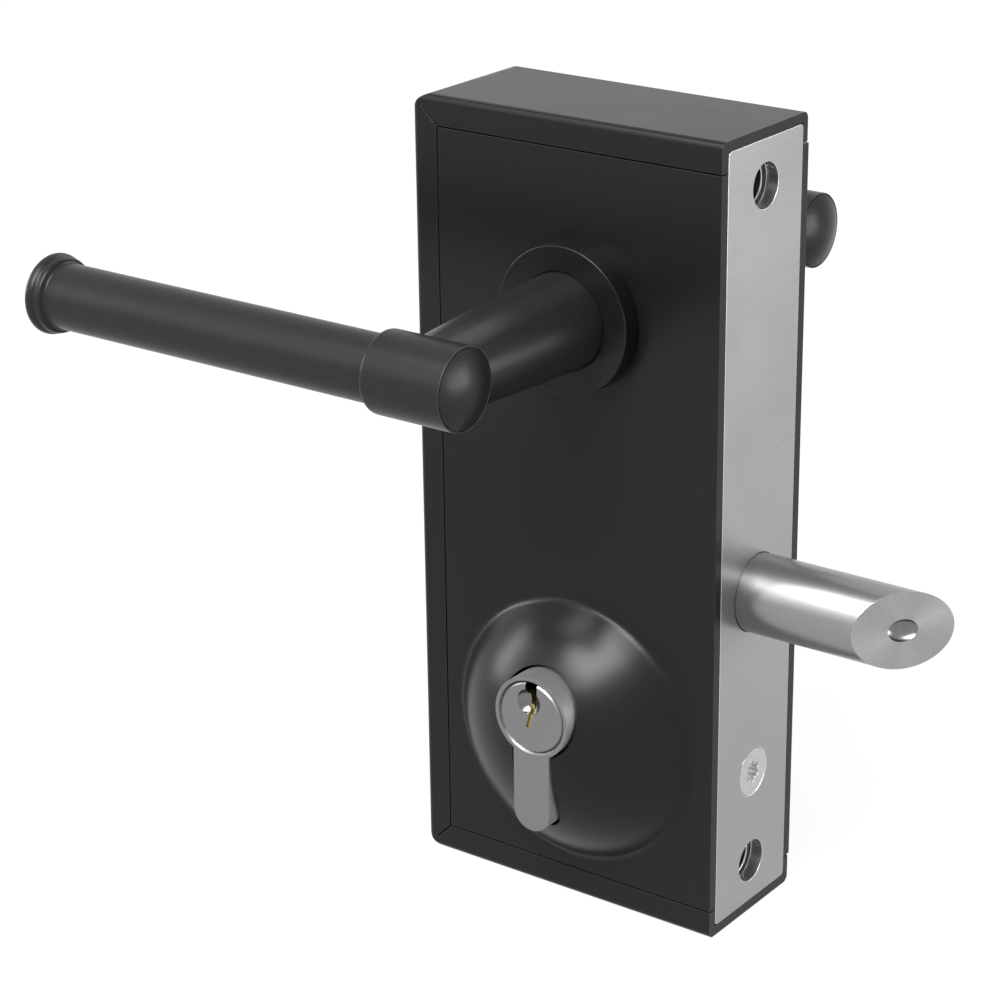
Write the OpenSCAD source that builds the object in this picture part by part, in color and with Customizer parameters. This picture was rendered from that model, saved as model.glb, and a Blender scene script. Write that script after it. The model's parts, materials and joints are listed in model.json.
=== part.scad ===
// Lever handle gate lock: slim latch deadlock that bolts to the face of a gate frame.
// +X points out of the gate face with the latch, -Y is the front, +Z is up.
// The origin is on the fixing face, midway between the two fixing bolts.

/* [Case] */
// Height of the case
case_h = 161; // [150:1:180]
// Width of the case, from the fixing face to the back wall
case_w = 70; // [69.5:0.5:80]
// Depth of the case, from front plate to rear plate
case_d = 30; // [29:1:36]
// Thickness of the case sheet
sheet_t = 2; // [1.5:0.1:2.2]
// Width of the folded rim around each plate
rim_w = 5.8; // [5:0.1:7]
// Fine gap between the rim and a plate
plate_gap = 0.3; // [0.2:0.05:0.5]
// Outer radius of the two back corners of the case
corner_r = 4.6; // [2.4:0.1:5]
// Outer radius of the folds between the walls and the rims
fold_r = 1.4; // [0.5:0.1:1.4]
// How far the rear plate stands out of its rim
rear_step = 0.5; // [0.2:0.1:0.8]
// Radius of the posts that join the two plates
post_r = 3; // [2.5:0.1:3.5]

/* [Faceplate and fixings] */
// Thickness of the stainless faceplate
face_t = 2.4; // [2:0.1:3]
// Gap around the edge of the faceplate
face_gap = 0.15; // [0.1:0.05:0.3]
// Corner radius of the faceplate
face_corner_r = 0.8; // [0.5:0.1:2]
// Distance from each end of the case to its fixing bolt
bolt_edge = 11; // [9:0.5:14]
// Diameter of the bolt holes in the faceplate
bolt_hole_d = 8.8; // [8.4:0.1:9.6]
// Core diameter of the threaded fixing pillars, for an M8 thread
thread_core_d = 6.8; // [6:0.1:7.4]
// Length of a fixing pillar behind the faceplate
pillar_len = 19.6; // [16:0.2:20]
// Width of a fixing pillar, from front to rear
pillar_w = 18; // [14:0.5:22]
// Diameter of the relief at the mouth of a pillar
pillar_relief_d = 11; // [10:0.1:12.5]
// Depth of that relief
pillar_relief = 1; // [0.6:0.1:2]

/* [Places in the case] */
// Distance from the fixing face to the spindle and the cylinder
backset = 32.2; // [31.5:0.1:32.6]
// Distance from the top of the case down to the spindle
spindle_drop = 37.8; // [37.2:0.1:42]
// Height of the latch axis above the bottom of the case
latch_rise = 69.4; // [68.5:0.1:71]
// Height of the cylinder's plug axis above the bottom of the case
plug_rise = 45.5; // [45:0.1:46.5]
// Distance from the plug axis down to the cylinder screw
screw_drop = 14.7; // [14.6:0.1:15]
// Distance from the plug axis down to the centre of the dome
dome_drop = 8.4; // [7:0.1:9]

/* [Dome] */
// Radius of the dome where it meets the plate
dome_r = 27.4; // [25:0.1:28]
// Height of the dome above the plate
dome_h = 15; // [13:0.5:17]
// Fillet at the foot of the dome
dome_fillet = 2.5; // [1.5:0.1:3]
// Gap between the cylinder and the opening in its dome
cutout_gap = 0.6; // [0.4:0.1:1]

/* [Lever handles] */
// Radius of a rose
rose_r = 14.6; // [14:0.1:16]
// Height of a rose above its plate
rose_h = 4.4; // [3:0.1:6]
// Radius of a lever neck at its rose
neck_r = 9.5; // [9:0.1:9.8]
// Radius of a lever neck at the elbow
neck_tip_r = 7.6; // [7:0.1:7.6]
// Distance from a plate to the axis of its lever bar
lever_reach = 45.3; // [40:0.5:55]
// Radius of the elbow collar
elbow_r = 7.85; // [7.8:0.05:9]
// Length of the elbow collar
elbow_len = 17.8; // [17:0.1:20]
// Length of the collar from the neck axis to its domed end
elbow_nose = 8.5; // [8:0.1:9]
// Height of the domed end of the collar
elbow_dome_h = 1.9; // [1.2:0.1:2.6]
// Radius of the lever bar
bar_r = 6.45; // [6:0.05:7]
// Length of the bare bar of the front lever
bar_len = 77; // [60:1:110]
// How much shorter the bar of the rear lever is
rear_trim = 2; // [0:0.5:6]
// Radius of the bead at the end of the lever
bead_r = 7.93; // [7.6:0.01:9]
// Side of the square spindle
spindle_side = 8; // [7:0.1:8.4]
// Length of the spindle beyond a plate
spindle_reach = 22.3; // [18:0.1:28]
// Swing of the levers in degrees
lever_swing = 42; // [30:1:42]

/* [Drive] */
// Distance from the spindle to the drive bush
drive_arm = 27; // [24:0.5:27]
// Radius of the drive bush
bush_r = 4; // [3.5:0.1:4.2]
// Thickness of the drive plate
drive_t = 3; // [2.5:0.1:3.4]
// Radius of the hub of the follower
hub_r = 10; // [9.4:0.1:10.2]
// Thickness of the arm of the follower
arm_t = 8; // [7:0.1:8.2]
// Radius of the drive pin
drive_pin_r = 2.5; // [2:0.1:2.8]
// Wire radius of the lever spring
lever_wire_r = 0.8; // [0.6:0.05:0.9]

/* [Latch] */
// Diameter of the latch bolt
latch_d = 15.7; // [14:0.1:16.5]
// Reach of the latch axis past the fixing face
latch_reach = 32; // [24:0.5:45]
// Slope of the latch tip, as reach per unit of depth
latch_slope = 0.84; // [0.5:0.02:1]
// Diameter of the round pit in the latch tip
pit_d = 4.6; // [3.5:0.1:5]
// Diameter of the pin that holds the latch on its rod
latch_pin_d = 2.6; // [2:0.1:3]
// Length of the latch inside the case
latch_tail = 14; // [13:0.5:15]
// Radius of the rod behind the latch
rod_r = 3; // [2.6:0.1:3.2]
// Length of the latch carriage
carriage_len = 14; // [13:0.5:15]
// Coil radius of the latch spring, to the middle of the wire
spring_r = 4; // [3.9:0.1:4.6]
// Wire radius of the latch spring
latch_wire_r = 0.6; // [0.4:0.05:0.7]

/* [Cylinder] */
// Overall length of the profile cylinder
cylinder_len = 60; // [56:1:66]
// Diameter of the round part of the cylinder
cylinder_d = 17; // [16.8:0.1:17.4]
// Overall height of the cylinder
cylinder_h = 33; // [32:0.1:33.5]
// Width of the stem of the cylinder
stem_w = 8.4; // [8.2:0.1:10]
// Diameter of a plug
plug_d = 14.6; // [14:0.1:15]
// Radius of the nose of the cam
cam_nose_r = 11.5; // [10.5:0.1:11.5]
// Lift of the deadlock slide
deadlock_lift = 5; // [4:0.1:5]
// Distance between the two pins that guide the slide
guide_pitch = 18; // [16:0.5:19]
// Radius of the two pins that guide the slide
guide_pin_r = 2; // [1.6:0.1:2.2]

/* [Hidden] */
$fn = 64;

powder_black = [0.16, 0.16, 0.165];
satin_steel = [0.68, 0.68, 0.69];
plated_steel = [0.76, 0.76, 0.77];
nickel = [0.56, 0.56, 0.57];
zinc = [0.62, 0.63, 0.66];
brass = [0.72, 0.6, 0.32];
nylon = [0.88, 0.87, 0.82];
spring_steel = [0.45, 0.46, 0.48];

// Small amounts: an overlap of joined solids, and how far a cut runs past a face.
eps = 0.01;
over = 1;
// Radial gap of a running fit, radial gap of a loose hole, and the gap between loose parts.
run_gap = 0.05;
hole_gap = 0.1;
free_gap = 0.3;

axis_x = -backset;
half_d = case_d / 2;
half_h = case_h / 2;
inner_y = half_d - sheet_t;
inner_z = half_h - sheet_t;
back_x = -case_w + sheet_t;
bolt_z = half_h - bolt_edge;
pillar_low = 2 * bolt_z - inner_z;
spindle_z = half_h - spindle_drop;
latch_z = latch_rise - half_h;
plug_z = plug_rise - half_h;
screw_z = plug_z - screw_drop;
dome_z = plug_z - dome_drop;
dome_ball_r = (dome_r * dome_r + dome_h * dome_h) / (2 * dome_h);
dome_ball_y = dome_h - dome_ball_r;

lever_y = half_d + lever_reach;
root_y = half_d + rose_h;
neck_in_y = inner_y - 1.5;
elbow_x = axis_x + elbow_nose;
bar_x = elbow_x - elbow_len;
cap_x = bar_x - bar_len;
rear_cap_x = cap_x + rear_trim;
tenon_r = 5;
tenon_y = lever_y + 2;
bar_tenon_r = 4.5;
bar_tenon = 3.5;
tenon_end_gap = 0.2;
bearing_t = 0.7;
bearing_r = neck_r + run_gap + bearing_t;
spigot_wall = 1.7;
spigot_r = bearing_r + run_gap + spigot_wall;
retainer_w = 2.4;
retainer_t = 1.2;
spindle_half = half_d + spindle_reach;
grub_r = 2;
grub_y = root_y + 4.6;

latch_r = latch_d / 2;
travel = drive_arm * sin(lever_swing);
slot_play = 0.9;
arm_half = arm_t / 2;
drive_y = arm_half + 1;
drive_far = drive_y + drive_t;
hub_small_r = hub_r - 2;
strap_w = 8.2;
strap_right = axis_x - hub_small_r - slot_play;
drive_left = strap_right - strap_w;
slot_half = bush_r + slot_play;
slot_side = 3.5;
slot_roof = 2.6;
slot_top = spindle_z + drive_arm + slot_half;
slot_low = spindle_z + drive_arm * cos(lever_swing) - slot_half;
spring_pin_r = 1.5;
spring_lug_r = 2.6;
spring_gap = 0.1;
lever_coil_r = hub_r + 0.4 + lever_wire_r;
spring_pin_x = lever_coil_r + lever_wire_r + spring_gap + spring_pin_r;
spring_pin_z = 10;

tip_reach = latch_reach + latch_slope * 2 * latch_r;
pit_x = latch_reach - 2.6;
rod_socket = 12;
latch_pin_x = -latch_tail + rod_socket / 2;
stub_len = 3.5;
stub_gap = 0.4;
rod_back = back_x + stub_len + stub_gap + travel;
carriage_half = 8;
carriage_x = -latch_tail - carriage_len;
carriage_screw_x = -latch_tail - carriage_len / 2;
carriage_screw_z = carriage_half - 2.5;
carriage_screw_r = 1.3;
carriage_head_r = 2.3;
seat_t = 2;

deadlock_w = 9.4;
cam_gap = 0.9;
deadlock_x = axis_x - cam_nose_r - cam_gap;
deadlock_gap = 0.5;
nose_w = 5;
nose_h = 5;
nose_shift = 0.6;
nose_x = deadlock_x + nose_shift;
guide_rise = 6.5;
guide_high = plug_z + guide_rise;
guide_low = guide_high - guide_pitch;
deadlock_top = latch_z - carriage_half - deadlock_lift - deadlock_gap;
deadlock_low = guide_low - deadlock_lift - guide_pin_r - 2;

cylinder_r = cylinder_d / 2;
cylinder_half = cylinder_len / 2;
plug_r = plug_d / 2;
plug_bore_r = plug_r + run_gap;
cam_slot = 5.3;
cam_half = 4.2;
cam_hub_r = 8.3;
tang_r = 4.5;
clip_t = 0.7;
clip_gap = 0.25;
clip_groove_r = 6.3;
pin_r = 1.45;
pin_pitch = 4;
pin_count = 5;
pin_first = 9;
pin_top = 2.5;
pin_point = 0.8;
driver_len = 4;
driver_top = -plug_r - 0.1;
pin_well = 22;
screw_r = 2.4;
screw_head_r = 4.9;

guide_wall = 3;
guide_gap = 0.08;
guide_r = latch_r + guide_gap + guide_wall;

// Posts in X and Z: one above the latch guide, one for the lever spring's fixed leg,
// one on the lower pillar and two at the back wall.
post_x = 12;
post_gap = 1.5;
spring_post = [-post_x - 2, spindle_z - lever_coil_r - lever_wire_r - spring_gap - post_r];
back_post_x = back_x + post_r + 0.5;
post_places = [
    [-post_x, latch_z + guide_r + post_r + post_gap],
    spring_post,
    [-post_x, post_r + post_gap - pillar_low],
    [back_post_x, guide_high],
    [back_post_x, post_gap + 2 * post_r - inner_z]
];

// A solid made along +Z is turned to lie along -Y, so that z becomes the distance to the front.
module to_front() {
    rotate([90, 0, 0]) children();
}

// A solid made along +Z is turned to lie along +X.
module to_side() {
    rotate([0, 90, 0]) children();
}

module rear_side() {
    mirror([0, 1, 0]) children();
}

// A round bar along the front direction, from one distance to the next.
module front_bar_between(r, near, far) {
    to_front() translate([0, 0, near]) cylinder(r = r, h = far - near);
}

module box_between(low, high) {
    translate(low) cube(high - low);
}

// Outline of the case in X and Z, with two round back corners.
module case_outline(inset) {
    least_r = 0.5;
    r = max(corner_r - inset, least_r);
    low = -case_w + inset;
    high = half_h - inset;
    union() {
        translate([low + r, -high]) square([eps - low - r, 2 * high]);
        translate([low, -high + r]) square([2 * r, 2 * (high - r)]);
        for (side = [-1, 1]) translate([low + r, side * (high - r)]) circle(r);
    }
}

module case_slab(inset, near, far) {
    to_front() translate([0, 0, near]) linear_extrude(far - near) case_outline(inset);
}

module round_rect(w, h, r) {
    union() {
        square([w - 2 * r, h], center = true);
        square([w, h - 2 * r], center = true);
        for (a = [-1, 1], b = [-1, 1]) translate([a * (w / 2 - r), b * (h / 2 - r)]) circle(r);
    }
}

// Section of the case across the folds, with its four outer edges rounded.
module fold_section(w) {
    translate([0, -rear_step / 2]) round_rect(w, case_d - rear_step, fold_r);
}

// The band keeps to the negative side of the fixing face.
module band_blank() {
    rear_y = half_d - rear_step;
    difference() {
        intersection() {
            case_slab(0, -rear_y, half_d);
            translate([-case_w - over, 0, 0]) to_side()
                linear_extrude(case_w + 2 * over) fold_section(case_h);
            linear_extrude(case_h + 2 * over, center = true) fold_section(2 * case_w);
        }
        case_slab(sheet_t, -inner_y, inner_y);
        case_slab(rim_w, -rear_y - over, half_d + over);
        box_between([0, -case_d, -case_h], [case_w, case_d, case_h]);
    }
}

// Slit where two rims meet at a back corner.
module mitre_slit(side) {
    slit_start = sheet_t + 0.4;
    slit_len = 1.5 * (rim_w - slit_start);
    translate([-case_w + slit_start, 0, side * (half_h - slit_start)])
        rotate([0, side * 45, 0])
            box_between([0, -case_d, -plate_gap / 2], [slit_len, case_d, plate_gap / 2]);
}

module case_band() {
    color(powder_black) difference() {
        band_blank();
        for (side = [-1, 1]) mitre_slit(side);
    }
}

// Half profile of the dome, with its radius along X and its height along Y.
module dome_profile(shrink) {
    intersection() {
        translate([0, dome_ball_y]) circle(r = dome_ball_r - shrink, $fn = 128);
        translate([0, -sheet_t - over]) square([dome_r + 2 * dome_fillet, dome_h + sheet_t + 2 * over]);
    }
}

// Fillet between the dome and the flat of the plate, in the same profile.
module dome_foot() {
    reach = dome_ball_r + dome_fillet;
    rise = dome_fillet - dome_ball_y;
    foot_x = sqrt(reach * reach - rise * rise);
    touch_x = foot_x * dome_ball_r / reach;
    touch_y = rise * dome_ball_r / reach + dome_ball_y;
    inner_x = touch_x - over;
    difference() {
        polygon([[inner_x, -over], [foot_x, -over], [foot_x, 0], [touch_x, touch_y], [inner_x, touch_y]]);
        translate([foot_x, dome_fillet]) circle(dome_fillet);
    }
}

module dome_turn() {
    translate([axis_x, 0, dome_z]) to_front() translate([0, 0, half_d])
        rotate_extrude($fn = 96) children();
}

// Profile of the cylinder in X and Z about the plug axis, grown by a gap.
module cylinder_profile(gap) {
    r = stem_w / 2;
    stem_z = cylinder_r - cylinder_h + r;
    union() {
        circle(r = cylinder_r + gap);
        translate([-r - gap, stem_z]) square([2 * (r + gap), -stem_z]);
        translate([0, stem_z]) circle(r = r + gap);
    }
}

module cylinder_prism(gap, near, far) {
    translate([axis_x, 0, plug_z]) to_front() translate([0, 0, near])
        linear_extrude(far - near) cylinder_profile(gap);
}

module plate_sheet() {
    left = -case_w + rim_w + plate_gap;
    high = half_h - rim_w - plate_gap;
    box_between([left, -half_d, -high], [0, -inner_y, high]);
}

module plate() {
    difference() {
        union() {
            plate_sheet();
            dome_turn() intersection() {
                union() {
                    dome_profile(0);
                    dome_foot();
                }
                translate([0, -sheet_t]) square([dome_r + 2 * dome_fillet, dome_h + sheet_t + over]);
            }
        }
        dome_turn() dome_profile(sheet_t);
        cylinder_prism(cutout_gap, 0, half_d + dome_h + over);
        translate([axis_x, 0, spindle_z]) front_bar_between(spigot_r + run_gap, 0, half_d + over);
    }
}

module front_plate() {
    color(powder_black) plate();
}

module rear_plate() {
    color(powder_black) rear_side() plate();
}

// Cone under the head of the cylinder screw, ending flush with the fixing face.
module screw_head_cone(gap) {
    translate([screw_r - screw_head_r, 0, screw_z]) to_side()
        cylinder(r1 = screw_r + gap, r2 = screw_head_r + gap, h = screw_head_r - screw_r + eps);
}

// Round hole through the faceplate at a height.
module face_hole(z, r) {
    translate([-face_t - over, 0, z]) to_side() cylinder(r = r, h = face_t + 2 * over);
}

module faceplate() {
    face_w = 2 * (inner_y - face_gap);
    face_h = 2 * (inner_z - face_gap);
    color(satin_steel) difference() {
        translate([-face_t, 0, 0]) to_side() linear_extrude(face_t)
            round_rect(face_h, face_w, face_corner_r);
        for (side = [-1, 1]) face_hole(side * bolt_z, bolt_hole_d / 2);
        face_hole(latch_z, latch_r + 1.5 * hole_gap);
        face_hole(screw_z, screw_r + hole_gap);
        screw_head_cone(hole_gap);
    }
}

module fixing_pillar() {
    difference() {
        box_between([-face_t - pillar_len, -pillar_w / 2, pillar_low], [-face_t, pillar_w / 2, inner_z]);
        translate([-case_w, 0, bolt_z]) to_side() cylinder(d = thread_core_d, h = case_w);
        translate([-face_t - pillar_relief, 0, bolt_z]) to_side()
            cylinder(d = pillar_relief_d, h = case_w);
    }
}

module fixing_pillars() {
    color(zinc) {
        fixing_pillar();
        mirror([0, 0, 1]) fixing_pillar();
    }
}

module case_posts() {
    color(zinc) for (place = post_places) translate([place[0], 0, place[1]])
        front_bar_between(post_r, -inner_y, inner_y);
}

// Rose with a spigot that passes through the plate.
module rose() {
    edge = 0.4;
    color(powder_black) translate([axis_x, 0, spindle_z]) difference() {
        union() {
            front_bar_between(rose_r, half_d, root_y - edge);
            to_front() translate([0, 0, root_y - edge]) cylinder(r1 = rose_r, r2 = rose_r - edge, h = edge);
            front_bar_between(spigot_r, neck_in_y, half_d + eps);
        }
        front_bar_between(bearing_r + run_gap, neck_in_y - over, root_y + over);
    }
}

module front_rose() {
    rose();
}

module rear_rose() {
    rear_side() rose();
}

// Nylon ring between the neck and its rose, sunk a little below the face of the rose.
module bearing() {
    sink = 0.4;
    color(nylon) translate([axis_x, 0, spindle_z]) difference() {
        front_bar_between(bearing_r, neck_in_y, root_y - sink);
        front_bar_between(neck_r + run_gap, neck_in_y - over, root_y);
    }
}

module front_bearing() {
    bearing();
}

module rear_bearing() {
    rear_side() bearing();
}

module rose_retainer() {
    translate([axis_x, 0, spindle_z]) difference() {
        front_bar_between(spigot_r + retainer_w, inner_y - retainer_t, inner_y);
        front_bar_between(spigot_r + run_gap, 0, half_d);
    }
}

module rose_retainers() {
    color(spring_steel) {
        rose_retainer();
        rear_side() rose_retainer();
    }
}

module spindle() {
    half = spindle_side / 2;
    color(plated_steel) translate([axis_x, 0, spindle_z])
        box_between([-half, -spindle_half, -half], [half, spindle_half, half]);
}

// Hub on the spindle, with the drive arm and the lug for the spring's free leg.
module follower() {
    half = spindle_side / 2 + run_gap;
    boss_r = drive_pin_r + 3;
    lug_angle = atan2(spring_pin_z, spring_pin_x);
    lug_len = norm([spring_pin_x, spring_pin_z]);
    spring_pin_len = 5;
    color(zinc) translate([axis_x, 0, spindle_z]) difference() {
        union() {
            front_bar_between(hub_r, -arm_half, neck_in_y);
            front_bar_between(hub_small_r, -neck_in_y, 0);
            box_between([-boss_r, -arm_half, 0], [boss_r, arm_half, drive_arm]);
            translate([0, 0, drive_arm]) front_bar_between(boss_r, -arm_half, arm_half);
            rotate([0, -lug_angle, 0])
                box_between([0, -arm_half, -spring_lug_r], [lug_len, arm_half, spring_lug_r]);
            translate([spring_pin_x, 0, spring_pin_z]) {
                front_bar_between(spring_lug_r, -arm_half, arm_half);
                front_bar_between(spring_pin_r, 0, arm_half + spring_pin_len);
            }
        }
        box_between([-half, -case_d, -half], [half, case_d, half]);
        translate([0, 0, drive_arm]) front_bar_between(drive_pin_r + run_gap, -case_d, case_d);
    }
}

module drive_pin() {
    proud = 0.6;
    color(plated_steel) translate([axis_x, 0, spindle_z + drive_arm])
        front_bar_between(drive_pin_r, -drive_far - proud, arm_half);
}

module drive_bush() {
    color(spring_steel) translate([axis_x, 0, spindle_z + drive_arm]) difference() {
        front_bar_between(bush_r, -drive_far - free_gap, -arm_half - hole_gap);
        front_bar_between(drive_pin_r + run_gap, -case_d, case_d);
    }
}

// Points of a closed ring of wire with its centre at c, in the plane of u and v.
function wire_ring(c, u, v, r, sides) =
    [for (i = [0 : sides - 1]) c + r * (u * cos(360 * i / sides) + v * sin(360 * i / sides))];

function unit(v) = v / norm(v);

function wire_heading(path, i) =
    unit(path[min(i + 1, len(path) - 1)] - path[max(i - 1, 0)]);

// Round wire swept along a path; up is a direction that is never along the path.
module wire(path, r, up, sides = 8) {
    n = len(path);
    rings = [
        for (i = [0 : n - 1])
            let (t = wire_heading(path, i), u = unit(cross(up, t)), v = cross(t, u))
                wire_ring(path[i], u, v, r, sides)
    ];
    points = [for (ring = rings) for (p = ring) p];
    sleeve = [
        for (i = [0 : n - 2]) for (j = [0 : sides - 1])
            let (k = (j + 1) % sides)
                [i * sides + j, (i + 1) * sides + j, (i + 1) * sides + k, i * sides + k]
    ];
    first = [for (j = [0 : sides - 1]) j];
    last = [for (j = [sides - 1 : -1 : 0]) (n - 1) * sides + j];
    polyhedron(points = points, faces = concat([first], sleeve, [last]), convexity = 10);
}

// Torsion spring around the hub: one leg bears on a post and the other on the follower's pin.
module lever_spring() {
    arm_gap = 0.65;
    part_turn = 0.75;
    steps = 22;
    leg_over = 3;
    pitch = 2 * lever_wire_r + 0.2;
    space = neck_in_y - arm_half - 2 * lever_wire_r - free_gap - arm_gap;
    turns = floor(space / pitch - part_turn + eps) + part_turn;
    y_start = -neck_in_y + lever_wire_r + free_gap;
    fixed_leg = spring_post[0] - axis_x + 2;
    free_leg = spring_pin_z + leg_over;
    coil = [
        for (i = [0 : steps * turns])
            let (a = -90 - 360 * i / steps)
                [lever_coil_r * cos(a), y_start + pitch * i / steps, lever_coil_r * sin(a)]
    ];
    path = concat(
        [[fixed_leg, y_start, -lever_coil_r], [fixed_leg / 2, y_start, -lever_coil_r]],
        coil,
        [for (k = [1 : 2]) [lever_coil_r, y_start + pitch * turns, free_leg * k / 2]]
    );
    color(spring_steel) translate([axis_x, 0, spindle_z]) wire(path, lever_wire_r, [0, 1, 0]);
}

// Neck of a lever: journal in the rose, tapered neck and tenon into the elbow.
module neck() {
    half = spindle_side / 2 + run_gap;
    tenon_root = 2;
    color(powder_black) translate([axis_x, 0, spindle_z]) difference() {
        union() {
            front_bar_between(neck_r, neck_in_y, root_y);
            difference() {
                to_front() translate([0, 0, root_y])
                    cylinder(r1 = neck_r, r2 = neck_tip_r, h = lever_y - root_y);
                translate([-case_w, -lever_y, 0]) to_side() cylinder(r = elbow_r, h = 2 * case_w, $fn = 96);
            }
            front_bar_between(tenon_r, lever_y - elbow_r - tenon_root, tenon_y);
        }
        box_between([-half, -spindle_half - tenon_end_gap, -half], [half, 0, half]);
        translate([0, -grub_y, -neck_r - over]) cylinder(r = grub_r, h = neck_r + over);
    }
}

// Half profile of the elbow collar, from its stepped end to its domed end.
module elbow_profile() {
    step = 0.6;
    dome_base = elbow_r - 0.35;
    ball_r = (dome_base * dome_base + elbow_dome_h * elbow_dome_h) / (2 * elbow_dome_h);
    polygon([[0, 0], [elbow_r - step, 0], [elbow_r, step], [elbow_r, elbow_len], [0, elbow_len]]);
    intersection() {
        translate([0, elbow_len + elbow_dome_h - ball_r]) circle(r = ball_r, $fn = 128);
        translate([0, elbow_len - over]) square([dome_base, elbow_dome_h + 2 * over]);
    }
}

module elbow() {
    color(powder_black) difference() {
        translate([bar_x, -lever_y, spindle_z]) to_side() rotate_extrude($fn = 96) elbow_profile();
        translate([axis_x, 0, spindle_z]) front_bar_between(tenon_r + run_gap, 0, tenon_y + tenon_end_gap);
        translate([bar_x - over, -lever_y, spindle_z]) to_side()
            cylinder(r = bar_tenon_r + run_gap, h = over + bar_tenon + tenon_end_gap);
    }
}

// Bar of a lever, from the place of its end cap to the elbow.
module bar(end_x) {
    bare_len = bar_x - end_x;
    color(powder_black) translate([end_x, -lever_y, spindle_z]) to_side() difference() {
        union() {
            cylinder(r = bar_r, h = bare_len);
            cylinder(r = bar_tenon_r, h = bare_len + bar_tenon);
        }
        translate([0, 0, -over]) cylinder(r = bar_tenon_r + run_gap, h = over + bar_tenon + tenon_end_gap);
    }
}

// Half profile of the bead at the end of a lever, with its flat domed face.
module bead_profile() {
    bead_t = 1.1;
    face_h = 0.4;
    face_r = bead_r - 1.6;
    face_slope = 2;
    translate([bead_r - bead_t, 0]) circle(r = bead_t);
    translate([0, -bead_t]) square([bead_r - bead_t, 2 * bead_t]);
    translate([0, bead_t - eps])
        polygon([[0, 0], [face_r, 0], [face_r - face_slope, face_h], [0, face_h]]);
}

// End cap: flare, ring and bead, with a tenon into the bar.
module end_cap(end_x) {
    flare = 1.4;
    ring_r = bead_r - 0.65;
    ring_len = 2.6;
    color(powder_black) translate([end_x, -lever_y, spindle_z]) rotate([0, -90, 0]) {
        translate([0, 0, -bar_tenon]) cylinder(r = bar_tenon_r, h = bar_tenon + flare);
        cylinder(r1 = bar_r, r2 = ring_r, h = flare);
        translate([0, 0, flare]) cylinder(r = ring_r, h = ring_len);
        translate([0, 0, flare + ring_len]) rotate_extrude() bead_profile();
    }
}

module grub_screw() {
    top = -spindle_side / 2 - run_gap;
    low = -neck_r + 0.6;
    socket_r = 1.1;
    socket_depth = 1.5;
    color(plated_steel) translate([axis_x, -grub_y, spindle_z]) difference() {
        translate([0, 0, low]) cylinder(r = grub_r - run_gap, h = top - low);
        translate([0, 0, low - over]) cylinder(r = socket_r, h = socket_depth + over, $fn = 6);
    }
}

module front_neck() {
    neck();
}

module front_elbow() {
    elbow();
}

module front_bar() {
    bar(cap_x);
}

module front_end_cap() {
    end_cap(cap_x);
}

module front_grub_screw() {
    grub_screw();
}

module rear_neck() {
    rear_side() neck();
}

module rear_elbow() {
    rear_side() elbow();
}

module rear_bar() {
    rear_side() bar(rear_cap_x);
}

module rear_end_cap() {
    rear_side() end_cap(rear_cap_x);
}

module rear_grub_screw() {
    rear_side() grub_screw();
}

// A round bar along the latch axis, from one place to the next.
module latch_bar(r, near, far) {
    translate([near, 0, latch_z]) to_side() cylinder(r = r, h = far - near);
}

// What is cut off beyond the slanted tip of the latch.
module tip_cut() {
    rise = 2 * latch_r;
    far = tip_reach + latch_r;
    translate([0, 0, latch_z]) linear_extrude(2 * rise, center = true)
        polygon([
            [latch_reach - rise * latch_slope, -rise],
            [far, -rise],
            [far, rise],
            [latch_reach + rise * latch_slope, rise]
        ]);
}

// Half profile of the pit, with its round bottom towards the case.
module pit_profile() {
    pit_r = pit_d / 2;
    square([pit_r, tip_reach - pit_x + over]);
    intersection() {
        circle(pit_r);
        translate([0, -pit_r]) square([pit_r, pit_r + eps]);
    }
}

module latch_bolt() {
    color(plated_steel) difference() {
        latch_bar(latch_r, -latch_tail, tip_reach, $fn = 96);
        tip_cut();
        translate([pit_x, 0, latch_z]) to_side() rotate_extrude() pit_profile();
        latch_bar(rod_r, -latch_tail - over, -latch_tail + rod_socket);
        translate([latch_pin_x, 0, latch_z]) cylinder(d = latch_pin_d, h = 2 * latch_d, center = true);
    }
}

module latch_rod() {
    color(plated_steel) difference() {
        latch_bar(rod_r - run_gap, rod_back, -latch_tail + rod_socket);
        translate([latch_pin_x, 0, latch_z]) cylinder(d = latch_pin_d, h = 2 * latch_d, center = true);
    }
}

// Hollow pin across the latch and its rod, a little below the face of the latch at both ends.
module latch_pin() {
    sink = 0.6;
    pin_wall = 0.6;
    outer_r = latch_pin_d / 2 - run_gap;
    color(spring_steel) translate([latch_pin_x, 0, latch_z]) difference() {
        cylinder(r = outer_r, h = 2 * (latch_r - sink), center = true);
        cylinder(r = outer_r - pin_wall, h = 2 * latch_d, center = true);
    }
}

module carriage_screw_places() {
    for (side = [-1, 1]) translate([carriage_screw_x, 0, latch_z + side * carriage_screw_z]) children();
}

module latch_carriage() {
    color(zinc) difference() {
        box_between(
            [carriage_x, -drive_y, latch_z - carriage_half],
            [-latch_tail, drive_y, latch_z + carriage_half]
        );
        latch_bar(rod_r, -case_w, 0);
        carriage_screw_places() front_bar_between(carriage_screw_r, -case_d, 2);
    }
}

// Cone of a countersunk carriage screw, flush with the rear of the drive plate.
module carriage_screw_cone(gap) {
    cone_h = carriage_head_r - carriage_screw_r;
    to_front() translate([0, 0, -drive_far - eps])
        cylinder(r1 = carriage_head_r - gap, r2 = carriage_screw_r - gap, h = cone_h);
}

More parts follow.
